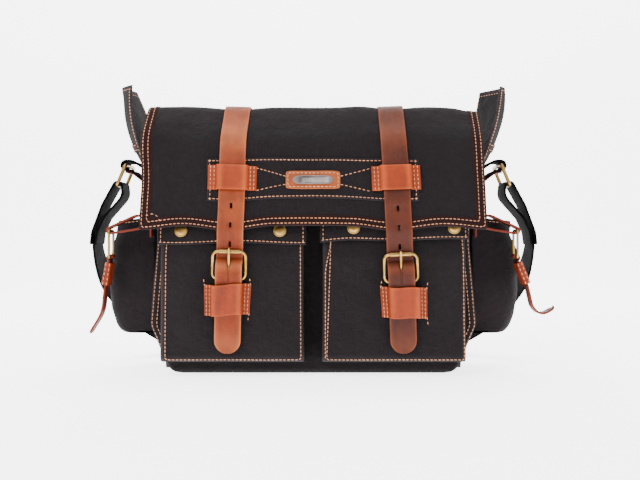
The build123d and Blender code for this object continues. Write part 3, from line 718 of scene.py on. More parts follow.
def flap_point(x, distance, lift=0.0, relief=None):
    stretched = distance + flap_drop(x) * ease(distance, FLAP_LENGTH * 0.75, FLAP_LENGTH)
    point, way = FLAP_TRACK.at(min(stretched, FLAP_LENGTH))
    past = max(0.0, stretched - FLAP_LENGTH)
    out = Vector((0, way.y, -way.x))
    height = lift + (flap_relief(x, distance) if relief is None else relief)
    back_edge = 1 - ease(distance, 60, 130)
    height -= 7.0 * ease(x, 150, FLAP_HALF) * back_edge + 1.5 * ease(-x, 165, FLAP_HALF) * back_edge
    narrow = 1 + 0.018 * math.sin(math.pi * ease(distance, 90, 200)) * (1 if x < 0 else 0)
    return Vector((x * narrow, point.x + way.x * past, point.y + way.y * past)) + out * height


def flap_distance(z):
    """Where along the flap its flat front is at a height."""
    low, high = 0.0, FLAP_LENGTH
    for _ in range(40):
        middle = (low + high) / 2
        if FLAP_TRACK.at(middle)[0].y > z or middle < 100:
            low = middle
        else:
            high = middle
    return low


def hem_line(inset, top=8.0, corner=3.5):
    """Points round the flap's two sides and lower edge, a fixed way in from its rim."""
    half, end = FLAP_HALF - inset, FLAP_LENGTH - inset
    bend = max(2.0, corner - inset * 0.4)
    track = Track([(-half, top), (-half, end), (half, end), (half, top)], [bend, bend])
    return track


def build_flap(cloth):
    across = sorted(set(spread(-FLAP_HALF, FLAP_HALF, 4) + [-178.2, 178.2, -176, 176]))
    along = spread(0, FLAP_LENGTH, 3.5) + [FLAP_LENGTH - 0.8]
    along = sorted(set(along))

    def round_corner(x, distance):
        """Pulls the two lower corners in to a small radius."""
        radius = 3.0
        over, down = abs(x) - (FLAP_HALF - radius), distance - (FLAP_LENGTH - radius)
        if over > 0 and down > 0:
            size = math.hypot(over, down)
            square = max(over, down)
            shrink = square / size
            x = math.copysign(FLAP_HALF - radius + over * shrink, x)
            distance = FLAP_LENGTH - radius + down * shrink
        return x, distance

    def top(x, distance):
        return flap_point(*round_corner(x, distance))

    def pale_amount(x, distance):
        return 0.22 * math.exp(-((distance - 105) / 16) ** 2) + 0.25 * ease(distance, FLAP_LENGTH - 2, FLAP_LENGTH)

    attach(layer("flap_cloth", top, across, along, cloth, (0, -0.7, 0.7), "canvas", wear_and_highlight=pale_amount),
           "flap", "canvas", "flap_canvas")
    inside = [x * 0.985 for x in across]

    def under(x, distance):
        return flap_point(*round_corner(x, min(distance, FLAP_LENGTH - 3)), -cloth - 0.1)

    attach(layer("flap_lining_cloth", under, inside, [mark for mark in along if mark < FLAP_LENGTH - 2.5], 1.3,
                 (0, -0.7, 0.7), "lining"),
           "flap", "lining", "flap_lining")

    outer = hem_line(0.6)

    def hem(w, share):
        point = hem_line(0.6 + w).at(share * hem_line(0.6 + w).length)[0]
        return flap_point(point.x, point.y, 0.75 - 0.3 * abs(w / HEM_WIDTH - 0.5))

    attach(layer("flap_hem", hem, [0, 0.8, 3, 5.4, 8, 10, HEM_WIDTH], spread(0, 1, 3.5 / outer.length), 0.9,
                 (0, -0.7, 0.7), "hem", wear_and_highlight=lambda w, s: 0.2 * ease(abs(w - 5.4), 4.2, 5.4)), "flap", "hem")
    for inset in (2.6, 7.9):
        line = hem_line(inset)
        sew("flap", [flap_point(*line.at(mark)[0], 0.85) for mark in spread(0, line.length, 2.5)])
    tack = Track([(-171, flap_distance(169)), (-163, flap_distance(171)), (-158, flap_distance(163))], [6])
    sew("flap", [flap_point(*tack.at(mark)[0], 0.6) for mark in spread(0, tack.length, 1.2)])


BAND_HALF = 110.0
BAND_Z = (183.0, 227.5)
BAND_LIFT = 1.6


def on_flap(x, z, lift):
    """A point over the flap's flat front at a height."""
    return flap_point(x, flap_distance(z), lift)


def build_band():
    rows = spread(*BAND_Z, 4)
    distances = {round(z, 3): flap_distance(z) for z in rows}

    def place(x, z):
        curve = 1.3 * math.cos(x / BAND_HALF * math.pi / 2)
        return flap_point(x, distances[round(z, 3)] - curve, BAND_LIFT)

    attach(layer("flap_band_cloth", place, spread(-BAND_HALF, BAND_HALF, 4), rows, 1.5, (0, -1, 0.2), "canvas",
                 wear_and_highlight=lambda x, z: 0.35 * max(ease(abs(x), 108, 110), ease(abs(z - 205), 20, 22))),
           "flap", "canvas", "flap_band")
    lift = BAND_LIFT + 0.25
    low, high = BAND_Z[0] + 2.6, BAND_Z[1] - 2.6
    edge = BAND_HALF - 3
    for z in (low, high):
        sew("flap", [on_flap(x, z + 1.3 * math.cos(x / BAND_HALF * math.pi / 2), lift)
                     for x in spread(-edge, edge, 4)])
    for sign in SIDES.values():
        sew("flap", [on_flap(sign * edge, z, lift) for z in spread(low, high, 3)])
        for level in (-1, 1):
            start = Vector((sign * 57.5, LABEL_Z + 1 + level * 11.5))
            end = Vector((sign * 30.0, LABEL_Z + level * 4.8))
            sew("flap", [on_flap(*start.lerp(end, share), lift) for share in spread(0, 1, 0.1)])


LABEL_HALF = (28.5, 10.0)
LABEL_Z = 204.4


def build_label():
    """A small leather label with a plain pewter plate, sewn to the middle of the band."""
    centre_z = LABEL_Z
    marks = {}

    def place(u, v):
        squeeze = 1 - 0.10 * (abs(u) ** 8) * (abs(v) ** 2)
        z = centre_z + v * LABEL_HALF[1] * squeeze
        x = u * LABEL_HALF[0] * (1 - 0.05 * (abs(v) ** 8) * abs(u))
        key = round(z, 2)
        if key not in marks:
            marks[key] = flap_distance(z)
        return flap_point(x, marks[key], BAND_LIFT + 1.9 - 0.35 * max(abs(u), abs(v)) ** 6)

    edges = sorted(set(spread(-1, 1, 0.08) + [-0.97, 0.97]))
    attach(layer("label_leather_patch", place, edges, edges, 1.7, (0, -1, 0.2), "label",
                 wear_and_highlight=lambda u, v: 0.5 * ease(max(abs(u), abs(v)), 0.85, 1)), "flap", "label", "label_patch")
    top, bottom = LABEL_Z + 7.6, LABEL_Z - 7.6
    border = Track([(-26, LABEL_Z), (-26, top), (26, top), (26, bottom), (-26, bottom), (-26, LABEL_Z - 0.2)],
                   [2.5, 2.5, 2.5, 2.5])
    sew("flap", [on_flap(*border.at(mark)[0], BAND_LIFT + 2.0) for mark in spread(0, border.length, 1.6)])

    def plate(u, v):
        z = LABEL_Z + v * 4.9 * math.sqrt(max(0.05, 1 - abs(u) ** 7))
        dish = 0.35 * ease(max(abs(u), abs(v)), 0.55, 0.8)
        return on_flap(u * 21.0, z, BAND_LIFT + 2.6 + dish)

    attach(layer("label_pewter_plate", plate, sorted(set(spread(-1, 1, 0.07) + [-0.985, 0.985])),
                 spread(-1, 1, 0.2), 0.9, (0, -1, 0.2), "pewter"), "flap", "pewter", "label_plate")


# ---------------------------------------------------------------- the buckle straps
POCKET_FACE = -86.0
BAR_Z = {"left": 131.0, "right": 128.0}
BUCKLE_LENGTH = 28.0
BAR_Y = POCKET_FACE - 8.5
HEEL_Y = POCKET_FACE - 5.5
SLOT_SPACING = 20.4


def lean_side(sign):
    """The way a leaning strap's width runs."""
    return Vector((math.cos(STRAP_LEAN[sign]), 0, sign * math.sin(STRAP_LEAN[sign])))


def leather_wear_and_highlight(width_share, spots):
    """Pale edges and pale worn places along a strap; spots are (distance, spread, amount)."""
    def wear_and_highlight(u, distance):
        edge = width_share * ease(abs(u), 0.8, 1)
        rubbed = sum(amount * math.exp(-((distance - spot) / size) ** 2) for spot, size, amount in spots)
        return min(1.0, edge + rubbed)
    return wear_and_highlight


def build_buckle_strap(side, sign, width, leather):
    """The upper part of a strap, from behind the flap's top edge to the buckle's roller bar."""
    line = []
    for distance in spread(16, FLAP_LENGTH - 1, 3):
        z = FLAP_TRACK.at(distance)[0].y
        x = strap_x(sign, z)
        over_band = ease(z, BAND_Z[0] - 7, BAND_Z[0]) * (1 - ease(z, BAND_Z[1], BAND_Z[1] + 7))
        if distance < 100:
            over_band = 0.0
        lift = leather + 0.5 + 1.7 * over_band
        relief = flap_relief(x, distance)
        line.append(flap_point(x, distance, lift, relief))
    bar = BAR_Z[side]
    edge = line[-1]
    for share in spread(0.12, 1, 0.11):
        z = edge.z + (bar + 1 - edge.z) * share
        y = edge.y + (BAR_Y + 4.05 - edge.y) * ease(share, 0, 1)
        line.append(Vector((strap_x(sign, z), y, z)))
    length = sum((b - a).length for a, b in zip(line, line[1:]))
    ends = [length - 3.9 - SLOT_SPACING * step for step in range(3)]
    slots = [(end - 5.8, end, 1.3) for end in ends]
    # The spot at 120 mm is a painted highlight, stronger on the left strap, where the light falls on the strap
    # below the flap's top; the other two spots are pale rubbed places.
    wear_and_highlight = leather_wear_and_highlight(0.6, [(120, 20, 0.75 if side == "left" else 0.55), (88, 12, 0.25), (length - 45, 25, 0.15)])
    piece = ribbon(side + "_buckle_strap_leather", line, width, leather, (0, -1, 0.4), side,
                   side=lambda d: lean_side(sign), wear_and_highlight=wear_and_highlight, slots=slots)
    attach(piece, "flap", side, side + "_buckle_strap")


def build_tail(side, sign, width, leather):
    """The strap's end, out over the heel bar and down through the lower keeper."""
    bar, heel = BAR_Z[side], BAR_Z[side] - BUCKLE_LENGTH
    back = BAR_Y + 4 + leather / 2
    track = Track([(back, bar - 0.3), (back + 0.6, bar - 8), (HEEL_Y - 6.2, bar - 12.6), (HEEL_Y - 6.4, heel),
                   (HEEL_Y - 2.2, heel - 14), (POCKET_FACE - 6.4, heel - 37), (POCKET_FACE - 3.6, 26)],
                  [2.0, 3.2, 9, 14, 30])
    line = []
    for mark in spread(0, track.length, 1.2):
        point, way = track.at(mark)
        out = Vector((0, way.y, -way.x)) * (leather / 2)
        line.append(Vector((strap_x(sign, point.y), point.x, point.y)) + out)
    # The spot at 17 mm, on the shoulder where the tail folds out over the heel bar, is partly the pale bend of the
    # leather and partly a painted highlight where that shoulder faces the light; the spot near the tip is a pale
    # rubbed place.
    wear_and_highlight = leather_wear_and_highlight(0.8, [(17, 3.5, 0.7), (track.length - 8, 12, 0.3)])
    hole = (7.5, 19.5, 1.75)
    slit = (19.5, 34.0, 0.32)
    piece = ribbon(side + "_strap_tail_leather", line, width, leather, (0, -1, 0), side, tip=width / 2,
                   side=lambda d: lean_side(sign), step=2.0, wear_and_highlight=wear_and_highlight, slots=[hole, slit])
    attach(piece, "root", side, side + "_strap_tail")


def keeper_track(width, thickness, strap_width, over):
    inner = strap_width / 2 + 0.3
    foot = inner + 1.4 * thickness
    shoulder = inner + 0.55 * thickness
    return Track([(-width / 2, 0), (-foot, 0), (-shoulder, over), (shoulder, over), (foot, 0), (width / 2, 0)],
                 [1.6, 2.6, 2.6, 1.6])


def build_upper_keeper(side, sign, strap_width):
    thickness = 2.5
    track = keeper_track(51, thickness, strap_width, 4.3)
    centre = 206.8
    half_tall = 12.8
    middle_x = strap_x(sign, centre)
    marks = {}

    def place(mark, v):
        point = track.at(mark)[0]
        lean = -sign * math.tan(STRAP_LEAN[sign]) * v * half_tall
        z = centre + v * half_tall + sign * point.x * 0.03
        key = round(z, 1)
        if key not in marks:
            marks[key] = flap_distance(z)
        relief = flap_relief(middle_x + point.x * 0.3, marks[key])
        bow = 0.35 * (v * v) * ease(abs(point.x), 20, 8)
        lift = BAND_LIFT + thickness + 0.3 + point.y - bow
        return flap_point(middle_x + point.x + lean, marks[key], lift, relief)

    def pale_amount(mark, v):
        point = track.at(mark)[0]
        middle = 0.5 * math.exp(-((abs(point.x) - 13) / 3) ** 2) + 0.18
        return middle + 0.4 * ease(abs(v), 0.82, 1)

    attach(layer(side + "_upper_keeper_leather", place, spread(0, track.length, 1.3),
                 sorted(set(spread(-1, 1, 0.125) + [-0.96, 0.96])), thickness, (0, -1, 0.2), "keeper", wear_and_highlight=pale_amount),
           "flap", "keeper", side + "_upper_keeper")
    for end in (3.0, 6.8):
        for mark in (end, track.length - end):
            row = [place(mark, v) + Vector((0, -0.35, 0)) for v in spread(-0.84, 0.84, 0.12)]
            sew("flap", row)


def build_lower_keeper(side, sign, strap_width):
    thickness = 2.5
    track = keeper_track(48, thickness, strap_width, 12.9)
    heel = BAR_Z[side] - BUCKLE_LENGTH
    centre = heel - 21.5
    half_tall = 16.0
    twist = 0.035 if side == "left" else -0.02
    shift = -1.5 if side == "left" else 2.5

    def place(mark, v):
        point = track.at(mark)[0]
        z = centre + v * half_tall + point.x * twist
        height = point.y * (0.86 + 0.14 * v) + thickness + 0.35
        x = strap_x(sign, z) + shift + point.x * (1 + 0.02 * v)
        flare = crumple((x, 0, z), 12, 0.5) * ease(abs(point.x), 15, 22)
        return Vector((x, POCKET_FACE - height - flare, z + 0.6 * math.sin(point.x / 6)))

    def pale_amount(mark, v):
        point = track.at(mark)[0]
        return 0.35 * math.exp(-((abs(point.x) - 13) / 3) ** 2) + 0.35 * ease(abs(v), 0.85, 1) + 0.12

    attach(layer(side + "_lower_keeper_leather", place, spread(0, track.length, 1.3),
                 sorted(set(spread(-1, 1, 0.1) + [-0.97, 0.97])), thickness, (0, -1, 0), "keeper", wear_and_highlight=pale_amount),
           "root", "keeper", side + "_lower_keeper")
    for end in (2.6, 6.0):
        for mark in (end, track.length - end):
            sew("root", [place(mark, v) + Vector((0, -0.35, 0)) for v in spread(-0.9, 0.9, 0.09)])
    for corner, level in ((0.8, 1), (track.length - 0.8, 1), (track.length - 0.8, -1)):
        start = place(corner, level * 0.97)
        ends = [start,
                start + Vector((sign * 1.5, -1.0, level * 2.2)),
                start + Vector((sign * 0.6, -1.6, level * 4.6))]
        sew("root", ends)


def build_brass():
    """Buckles, rings and rollers keep their CAD shapes in antique brass."""
    for side in SIDES:
        refinish("brass", side + "_buckle_frame", side + "_buckle_roller", side + "_buckle_prong")
    refinish("brass", "strap_rings", "side_rings", "snap_studs", "rear_zip_slider")
    refinish("right", "buckle_chapes", "rear_zip_pull")
    refinish("red", "tab_anchors")


# ---------------------------------------------------------------- the front pockets
POCKET_X = (9.5, 159.0)
POCKET_Z = (16.0, 150.0)
POCKET_DEPTH = 30.6
# The upright stitch rows of each pocket: inner row's top and foot, outer row's top and foot.
POCKET_ROWS = {"left": (13.2, 12.6, 151.8, 153.0), "right": (18.6, 14.2, 155.0, 156.6)}
POCKET_FLAP_TRACK = Track([(-57.2, 189.0), (-57.2, 182.0), (-80.6, 158.0), (-83.7, 141.0)], [4, 20])


def pocket_swell(sign, x, z):
    """How far a pocket's face is filled out, held flat behind the strap."""
    middle = sum(POCKET_X) / 2
    half = (POCKET_X[1] - POCKET_X[0]) / 2
    over = 1 - abs((abs(x) - middle) / half) ** 3
    up = 1 - abs((z - 78) / 66) ** 3
    held = 1 - math.exp(-((x - strap_x(sign, z)) / 27) ** 4)
    return max(0.0, over) * max(0.0, up) * held * (3.6 + crumple((x, 3, z), 34, 3.0, 9.0))


def pocket_face(sign, x, z):
    top_lean = 8.0 * ease(z, 124, 152)
    return Vector((x, POCKET_FACE + top_lean - pocket_swell(sign, x, z), z))


def build_front_pocket(side, sign):
    low, high = POCKET_X
    over = Track([(low, 0), (low, 1 * POCKET_DEPTH), (high, POCKET_DEPTH), (high, 0)], [6, 6])
    up = Track([(0, POCKET_Z[0]), (POCKET_DEPTH, POCKET_Z[0]), (POCKET_DEPTH, POCKET_Z[1])], [8])
    back = POCKET_FACE + POCKET_DEPTH

    def place(mark, rise):
        flat, _ = over.at(mark)
        lift, _ = up.at(rise)
        share = (flat.y / POCKET_DEPTH) * (lift.x / POCKET_DEPTH)
        x, z = sign * flat.x, lift.y
        front = pocket_face(sign, x, z).y
        pinch = 1.2 * math.sin(math.pi * min(1, flat.y / POCKET_DEPTH)) * (1 if flat.y < POCKET_DEPTH - 1 else 0)
        inwards = pinch if abs(flat.x - low) < 20 else -pinch
        return Vector((x + sign * inwards * ease(z, 16, 60), back + (front - back) * share, z))

    def pale_amount(mark, rise):
        flat, _ = over.at(mark)
        lift, _ = up.at(rise)
        corner = math.exp(-((flat.y - POCKET_DEPTH + 2) / 3) ** 2) * (1 if flat.y < POCKET_DEPTH - 0.3 else 0)
        bottom = math.exp(-((lift.y - POCKET_Z[0] - 3) / 3) ** 2)
        return 0.4 * corner + 0.25 * bottom

    attach(layer(side + "_front_pocket_cloth", place, spread(0, over.length, 2.6), spread(0, up.length, 2.6), 2.2,
                 (0, -1, 0), "canvas", wear_and_highlight=pale_amount), "root", "canvas", side + "_front_pocket")

    def row(points):
        sew("root", [pocket_face(sign, sign * x, z) + Vector((0, -0.3, 0)) for x, z in points])

    bottom = POCKET_Z[0] + 3.2
    inner_top, inner_low, outer_top, outer_low = POCKET_ROWS[side]
    frame_line = Track([(inner_top, 146), (inner_low, bottom), (outer_low, bottom), (outer_top, 146)], [2, 2])
    row([tuple(frame_line.at(mark)[0]) for mark in spread(0, frame_line.length, 2.5)])
    if side == "right":
        second = low + 2.6
        row([(inner_top + (second - inner_top) * ease(146 - z, 0, 40) * 0.9, z)
             for z in spread(bottom + 3, 140, 3)])
    build_pocket_flap(side, sign)


def flap_leaf(sign, x, mark, lift=0.0):
    """A point of a pocket flap; its lower edge waves a little."""
    wave = 1.0 * math.sin(x / 21 + sign) - 2.2 * ease(-x, -40, 0) + 1.8 * ease(x, 0, 60)
    point, way = POCKET_FLAP_TRACK.at(mark)
    past = wave * ease(mark, 25, POCKET_FLAP_TRACK.length)
    out = Vector((0, way.y, -way.x))
    ripple = 0.5 * math.sin(x / 17) * ease(mark, 30, 55)
    return Vector((x, point.x, point.y + past)) + out * (1.1 + lift + ripple)


def build_pocket_flap(side, sign):
    middle = sum(POCKET_X) / 2 * sign
    half = (POCKET_X[1] - POCKET_X[0]) / 2 + 2.3
    length = POCKET_FLAP_TRACK.length
    body = side + "_pocket_flap"
    attach(layer(side + "_pocket_flap_cloth", lambda x, m: flap_leaf(sign, x, m),
                 spread(middle - half, middle + half, 3), spread(0, length, 2.4), 2.0, (0, -1, 0.3), "canvas",
                 wear_and_highlight=lambda x, m: 0.35 * ease(m, length - 2, length)), body, "canvas", side + "_pocket_flap")
    sew(body, [flap_leaf(sign, x, length - 2.4, 0.3) for x in spread(middle - half + 3, middle + half - 3, 2.5)])
    for edge in (-1, 1):
        sew(body, [flap_leaf(sign, middle + edge * (half - 3.2), m, 0.3) for m in spread(22, length - 4, 3)])
    build_snaps(side, sign, body)


SNAP_X = {"left": (34.5, 137.0), "right": (42.0, 146.5)}
SNAP_RISE = {"left": 11.5, "right": 14.5}


def build_snaps(side, sign, body):
    """Domed brass snap caps with a rolled rim, one mesh for each pocket flap."""
    profile = Track([(0.01, 2.6), (3.4, 2.3), (5.3, 1.3), (5.6, 1.0), (6.4, 1.7), (7.0, 0.4), (0.01, 0.1)],
                    [6, 1.2, 0.3, 0.4, 0.3])
    high, low = Vector((-80.6, 158.0)), Vector((-83.7, 141.0))
    up = (high - low).normalized()
    out = Vector((0, -up.y, up.x))
    along = Vector((0, up.x, up.y))
    points, faces = [], []
    spokes = 40
    rings = spread(0, profile.length, 0.7)
    for x in SNAP_X[side]:
        spot = low + up * (SNAP_RISE[side] / up.y)
        centre = Vector((sign * x, spot.x, spot.y)) + out * 1.2
        start = len(points)
        for ring in rings:
            radius, height = profile.at(ring)[0]
            for spoke in range(spokes):
                angle = 2 * math.pi * spoke / spokes
                points.append(centre + Vector((1, 0, 0)) * radius * math.cos(angle)
                              + along * radius * math.sin(angle) + out * height)
        for ring in range(len(rings) - 1):
            for spoke in range(spokes):
                nxt = (spoke + 1) % spokes
                row, up_row = start + ring * spokes, start + (ring + 1) * spokes
                faces.append((row + spoke, row + nxt, up_row + nxt, up_row + spoke))
        faces.append(tuple(range(start, start + spokes)))
        last = start + (len(rings) - 1) * spokes
        faces.append(tuple(range(last, last + spokes)))
    piece = make_piece(side + "_snap_domes", points, faces, [(0, 0)] * len(points), "brass")
    attach(piece, body, "brass", side + "_snap_caps")


# ---------------------------------------------------------------- the side pouches
POUCH_Y = (-38.0, 26.0)
POUCH_Z = (42.0, 168.0)
POUCH_REACH = 52.0


def pouch_depth(z):
    """How far the pouch stands out from the side: fullest below its middle, drawn in at the rim."""
    share = (z - POUCH_Z[0]) / (POUCH_Z[1] - POUCH_Z[0])
    return POUCH_REACH * (0.84 + 0.17 * ease(share, 0, 0.3) - 0.19 * ease(share, 0.66, 1.0))


def build_pouch(side, sign):
    low, high = POUCH_Y
    over = Track([(low, 0), (low, POUCH_REACH), (high, POUCH_REACH), (high, 0)], [17, 17])
    up = Track([(0, POUCH_Z[0]), (POUCH_REACH, POUCH_Z[0]), (POUCH_REACH, POUCH_Z[1])], [12])
    wall = BODY_HALF + 0.3

    def place(mark, rise, lift=0.0):
        flat, _ = over.at(mark)
        lift_point, _ = up.at(rise)
        z = lift_point.y
        share = (flat.y / POUCH_REACH) * (lift_point.x / POUCH_REACH)
        folds = crumple((sign * flat.x, flat.y, z), 20, 2.6, 2.0) * share * ease(z, 42, 70)
        gather = 1.2 * math.sin(flat.x / 5.5) * ease(z, 150, 168) * share
        reach = pouch_depth(z) * share + folds + gather
        squeeze = 1 - 0.10 * ease(z, 110, 168) * share
        middle = (low + high) / 2
        tip = 4.0 * ease(z, 130, 168) * share
        return Vector((sign * (wall + reach + lift), middle + (flat.x - middle) * squeeze, z - tip))

    def pale_amount(mark, rise):
        z = up.at(rise)[0].y
        return 0.3 * ease(z, 165, 168) + 0.15 * math.exp(-((z - 70) / 24) ** 2)

    attach(layer(side + "_side_pocket_cloth", place, spread(0, over.length, 3), spread(0, up.length, 3), 2.2,
                 (sign, 0, 0), "canvas", wear_and_highlight=pale_amount), "root", "canvas", side + "_side_pocket")
    rim = up.length
    hem = layer(side + "_side_pocket_hem", lambda m, w: place(m, rim - w, 0.7), spread(2, over.length - 2, 3),
                [0, 1, 4, 8, 11, 12], 0.9, (sign, 0, 0), "canvas")
    attach(hem, "root", "canvas")
    for inset in (3,):
        sew("root", [place(m, rim - inset, 1.05) for m in spread(3, over.length - 3, 3)])


# ---------------------------------------------------------------- the thin side straps
SIDE_Y = -51.0
SIDE_WIDTH = 14.0
SIDE_LEATHER = 2.2
RING_X, RING_Z = 217.0, 138.5
RING_HALF = 14.5
WRAP = 1.3 + 0.4 + SIDE_LEATHER / 2
TAILS = {"left": ([(217.6, 121.6), (222.5, 92.0), (225.0, 66.0), (239.0, 43.0)], [60, 40]),
         "right": ([(218.0, 121.6), (229.0, 94.0), (234.0, 72.0), (243.0, 62.0), (257.0, 70.0)], [60, 12, 10])}


def side_line(track, sign, lift=0.0):
    """A track in the side plane as points of a strap's outer face."""
    points = []
    for mark in spread(0, track.length, 1.0):
        point, way = track.at(mark)
        out = Vector((-way.y, way.x)) * lift
        points.append(Vector((sign * (point.x + out.x), SIDE_Y, point.y + out.y)))
    return points


def build_side_strap(side, sign):
    top = RING_Z + RING_HALF
    root = BODY_HALF + 0.2 + SIDE_LEATHER / 2
    corners = [(root, 184), (root, 170), (190, 169), (RING_X + WRAP, top + WRAP - 0.5),
               (RING_X + WRAP, top - WRAP - 0.5), (192, 154), (root, 158), (root, 146)]
    loop = Track(corners, [3, 12, WRAP - 0.4, WRAP - 0.4, 12, 3])
    wear_and_highlight = leather_wear_and_highlight(0.5, [(loop.length / 2, 8, 0.5)])
    piece = ribbon(side + "_side_strap_leather", side_line(loop, sign, SIDE_LEATHER / 2), SIDE_WIDTH, SIDE_LEATHER,
                   (sign, 0, 0), "red", step=1.5, crown=0.15, wear_and_highlight=wear_and_highlight)
    attach(piece, "root", "red", side + "_side_strap")

    corners, radii = TAILS[side]
    hook = [(RING_X - WRAP, RING_Z - RING_HALF), (RING_X - WRAP, RING_Z - RING_HALF + WRAP),
            (RING_X + WRAP, RING_Z - RING_HALF + WRAP), (RING_X + WRAP, RING_Z - RING_HALF - 2)]
    path = Track(hook + [corners[0]] + corners[1:], [WRAP - 0.3, WRAP - 0.3, 2.0, 1.0] + radii)
    body = side + "_side_tail"
    wear_and_highlight = leather_wear_and_highlight(0.5, [(path.length - 20, 14, 0.5)])
    piece = ribbon(side + "_side_tail_leather", side_line(path, sign, SIDE_LEATHER / 2), SIDE_WIDTH, SIDE_LEATHER,
                   (sign, 0, 0), "red", step=1.5, crown=0.15, tip=5.0, wear_and_highlight=wear_and_highlight)
    attach(piece, body, "red", side + "_side_tail")
    refinish("keeper", side + "_side_keeper")
    top_end, low_end = [Vector((sign * x, 0, z)) for x, z in corners[:2]]
    along = (low_end - top_end).normalized()
    across = Vector((along.z, 0, -along.x))
    for edge in (-6.4, 6.4):
        sew(body, [top_end + along * d + Vector((0, SIDE_Y - 9.8, 0)) + across * edge * 0.3
                   for d in spread(5, 25, 2.5)])


# ---------------------------------------------------------------- the shoulder strap
STRAP_AXIS_Z = 226.0
STRAP_RING_X = 208.0
RING_WIRE = 2.0
STRAP_ROUTE_LEFT = [(-244, 2, 146), (-246, 18, 114), (-235, 52, 82), (-214, 88, 48), (-180, 112, 20)]
STRAP_ROUTE_FLOOR = [(-134, 123, 7), (-78, 134, 6), (-22, 131, 6), (34, 137, 6), (88, 130, 6), (138, 122, 8)]
STRAP_ROUTE_RIGHT = [(180, 112, 20), (214, 88, 48), (235, 52, 82), (246, 18, 114), (244, 2, 146)]


def smooth_route(points):
    """The NURBS line of a route, in metres, as points read from the curve itself."""
    curve = bpy.data.curves.new("route", "CURVE")
    curve.dimensions = "3D"
    curve.resolution_u = 16
    spline = curve.splines.new("NURBS")
    spline.points.add(len(points) - 1)
    for point, place in zip(spline.points, points):
        point.co = (*[value * MM for value in place], 1)
    spline.order_u = 3
    spline.use_endpoint_u = True
    holder = bpy.data.objects.new("route", curve)
    bpy.context.scene.collection.objects.link(holder)
    mesh = bpy.data.meshes.new_from_object(holder)
    line = [vertex.co.copy() for vertex in mesh.vertices]
    bpy.data.objects.remove(holder)
    bpy.data.meshes.remove(mesh)
    return line


def build_shoulder_strap(width, thickness):
    route = smooth_route(STRAP_ROUTE_LEFT + STRAP_ROUTE_FLOOR + STRAP_ROUTE_RIGHT)
    line = [point / MM for point in route]
    count = len(line)
    marks = [0.0]
    for one, two in zip(line, line[1:]):
        marks.append(marks[-1] + (two - one).length)

    def frame_at(distance):
        index = min(range(count), key=lambda i: abs(marks[i] - distance))
        way = (line[min(index + 1, count - 1)] - line[max(index - 1, 0)]).normalized()
        turn = math.pi * ease(distance, marks[-1] * 0.06, marks[-1] * 0.94)
        normal = Vector((-math.cos(turn), 0, -math.sin(turn)))
        return way.cross(normal).normalized()

    piece = ribbon("shoulder_strap_band", [point.copy() for point in line], width, thickness, (0, 0, 1), "webbing",
                   side=frame_at, step=4.0, crown=0.0)
    attach(piece, "shoulder_strap", "webbing", "shoulder_strap_webbing")
    for side, sign in SIDES.items():
        build_strap_end(side, sign, width, thickness)
        build_tab(side, sign, width, thickness)
    tuple(route[0])
    [tuple(point) for point in route]


def build_strap_end(side, sign, width, thickness):
    """The doubled end of the strap, folded over the ring's lower bar."""
    bar_x, bar_z = STRAP_RING_X + 9, STRAP_AXIS_Z - 22
    wrap = RING_WIRE + 0.3 + thickness / 2
    corners = [(242.2, 138.0), (240.4, 152.0), (233, 168), (bar_x - wrap - 1.6, 192), (bar_x - wrap, bar_z + wrap),
               (bar_x + wrap, bar_z + wrap), (bar_x + wrap + 14, 182), (245.8, 152.0), (247.4, 138.0)]
    track = Track(corners, [10, 10, 14, wrap - 0.1, wrap - 0.1, 18, 10])
    line = []
    for mark in spread(0, track.length, 1.5):
        point, way = track.at(mark)
        out = Vector((-way.y, way.x)) * (thickness / 2)
        line.append(Vector((sign * (point.x + out.x), 0, point.y + out.y)))
    piece = ribbon(side + "_strap_end_webbing", line, width, thickness, (0, 0, 1), "webbing", step=2.5, crown=0.0)
    attach(piece, "shoulder_strap", "webbing", side + "_strap_end")


def build_tab(side, sign, width, thickness):
    """The webbing loop that holds the ring, with a leather tab under it, sewn to the side."""
    wrap = RING_WIRE + 0.3 + thickness / 2
    bar_x, bar_z = STRAP_RING_X, STRAP_AXIS_Z
    roll = wrap + 1.6
    corners = [(BODY_HALF + 3.2, 199), (BODY_HALF + 3.6, 214),
               (bar_x - 7, bar_z + roll), (bar_x + roll, bar_z + roll),
               (bar_x + roll, bar_z - roll), (bar_x - 5, bar_z - roll),
               (BODY_HALF + 9.5, 204), (BODY_HALF + 6.2, 190)]
    track = Track(corners, [6, 12, roll - 0.2, roll - 0.2, 14, 12])

    def line(lift):
        points = []
        for mark in spread(0, track.length, 1.5):
            point, way = track.at(mark)
            out = Vector((-way.y, way.x)) * lift
            points.append(Vector((sign * (point.x + out.x), 0, point.y + out.y)))
        return points

    loop = ribbon(side + "_tab_webbing", line(thickness / 2), width, thickness, (sign, 0, 0), "webbing", step=2.0,
                  crown=0.0)
    start, end = (sign * 0.178, 0, bar_z * MM), (sign * 0.203, 0, bar_z * MM)
    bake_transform(loop)
    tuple(start)
    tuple(end)
    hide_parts(side + "_tab_loop")
    under = line(thickness / 2 + 1.7)
    under = under[int(len(under) * 0.56):]
    tab = ribbon(side + "_tab_leather", under, width - 14, 1.6, (0, 0, -1), "red", step=2.0, crown=0.1,
                 wear_and_highlight=leather_wear_and_highlight(0.5, []), start_tip=6)
    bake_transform(tab)
    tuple(start)
    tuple(end)


# ---------------------------------------------------------------- the rear pocket and its zip
REAR_HALF = 128.0
REAR_Z = (52.0, 208.0)
ZIP_Z = 214.0
ZIP_HALF = 118.0


def rear_face(x, z, lift):
    edge = min(REAR_HALF - abs(x), z - REAR_Z[0], 40)
    fill = 2.6 * ease(edge, 0, 36)
    return body_face(x, z, back=True) + Vector((0, lift + fill, 0))


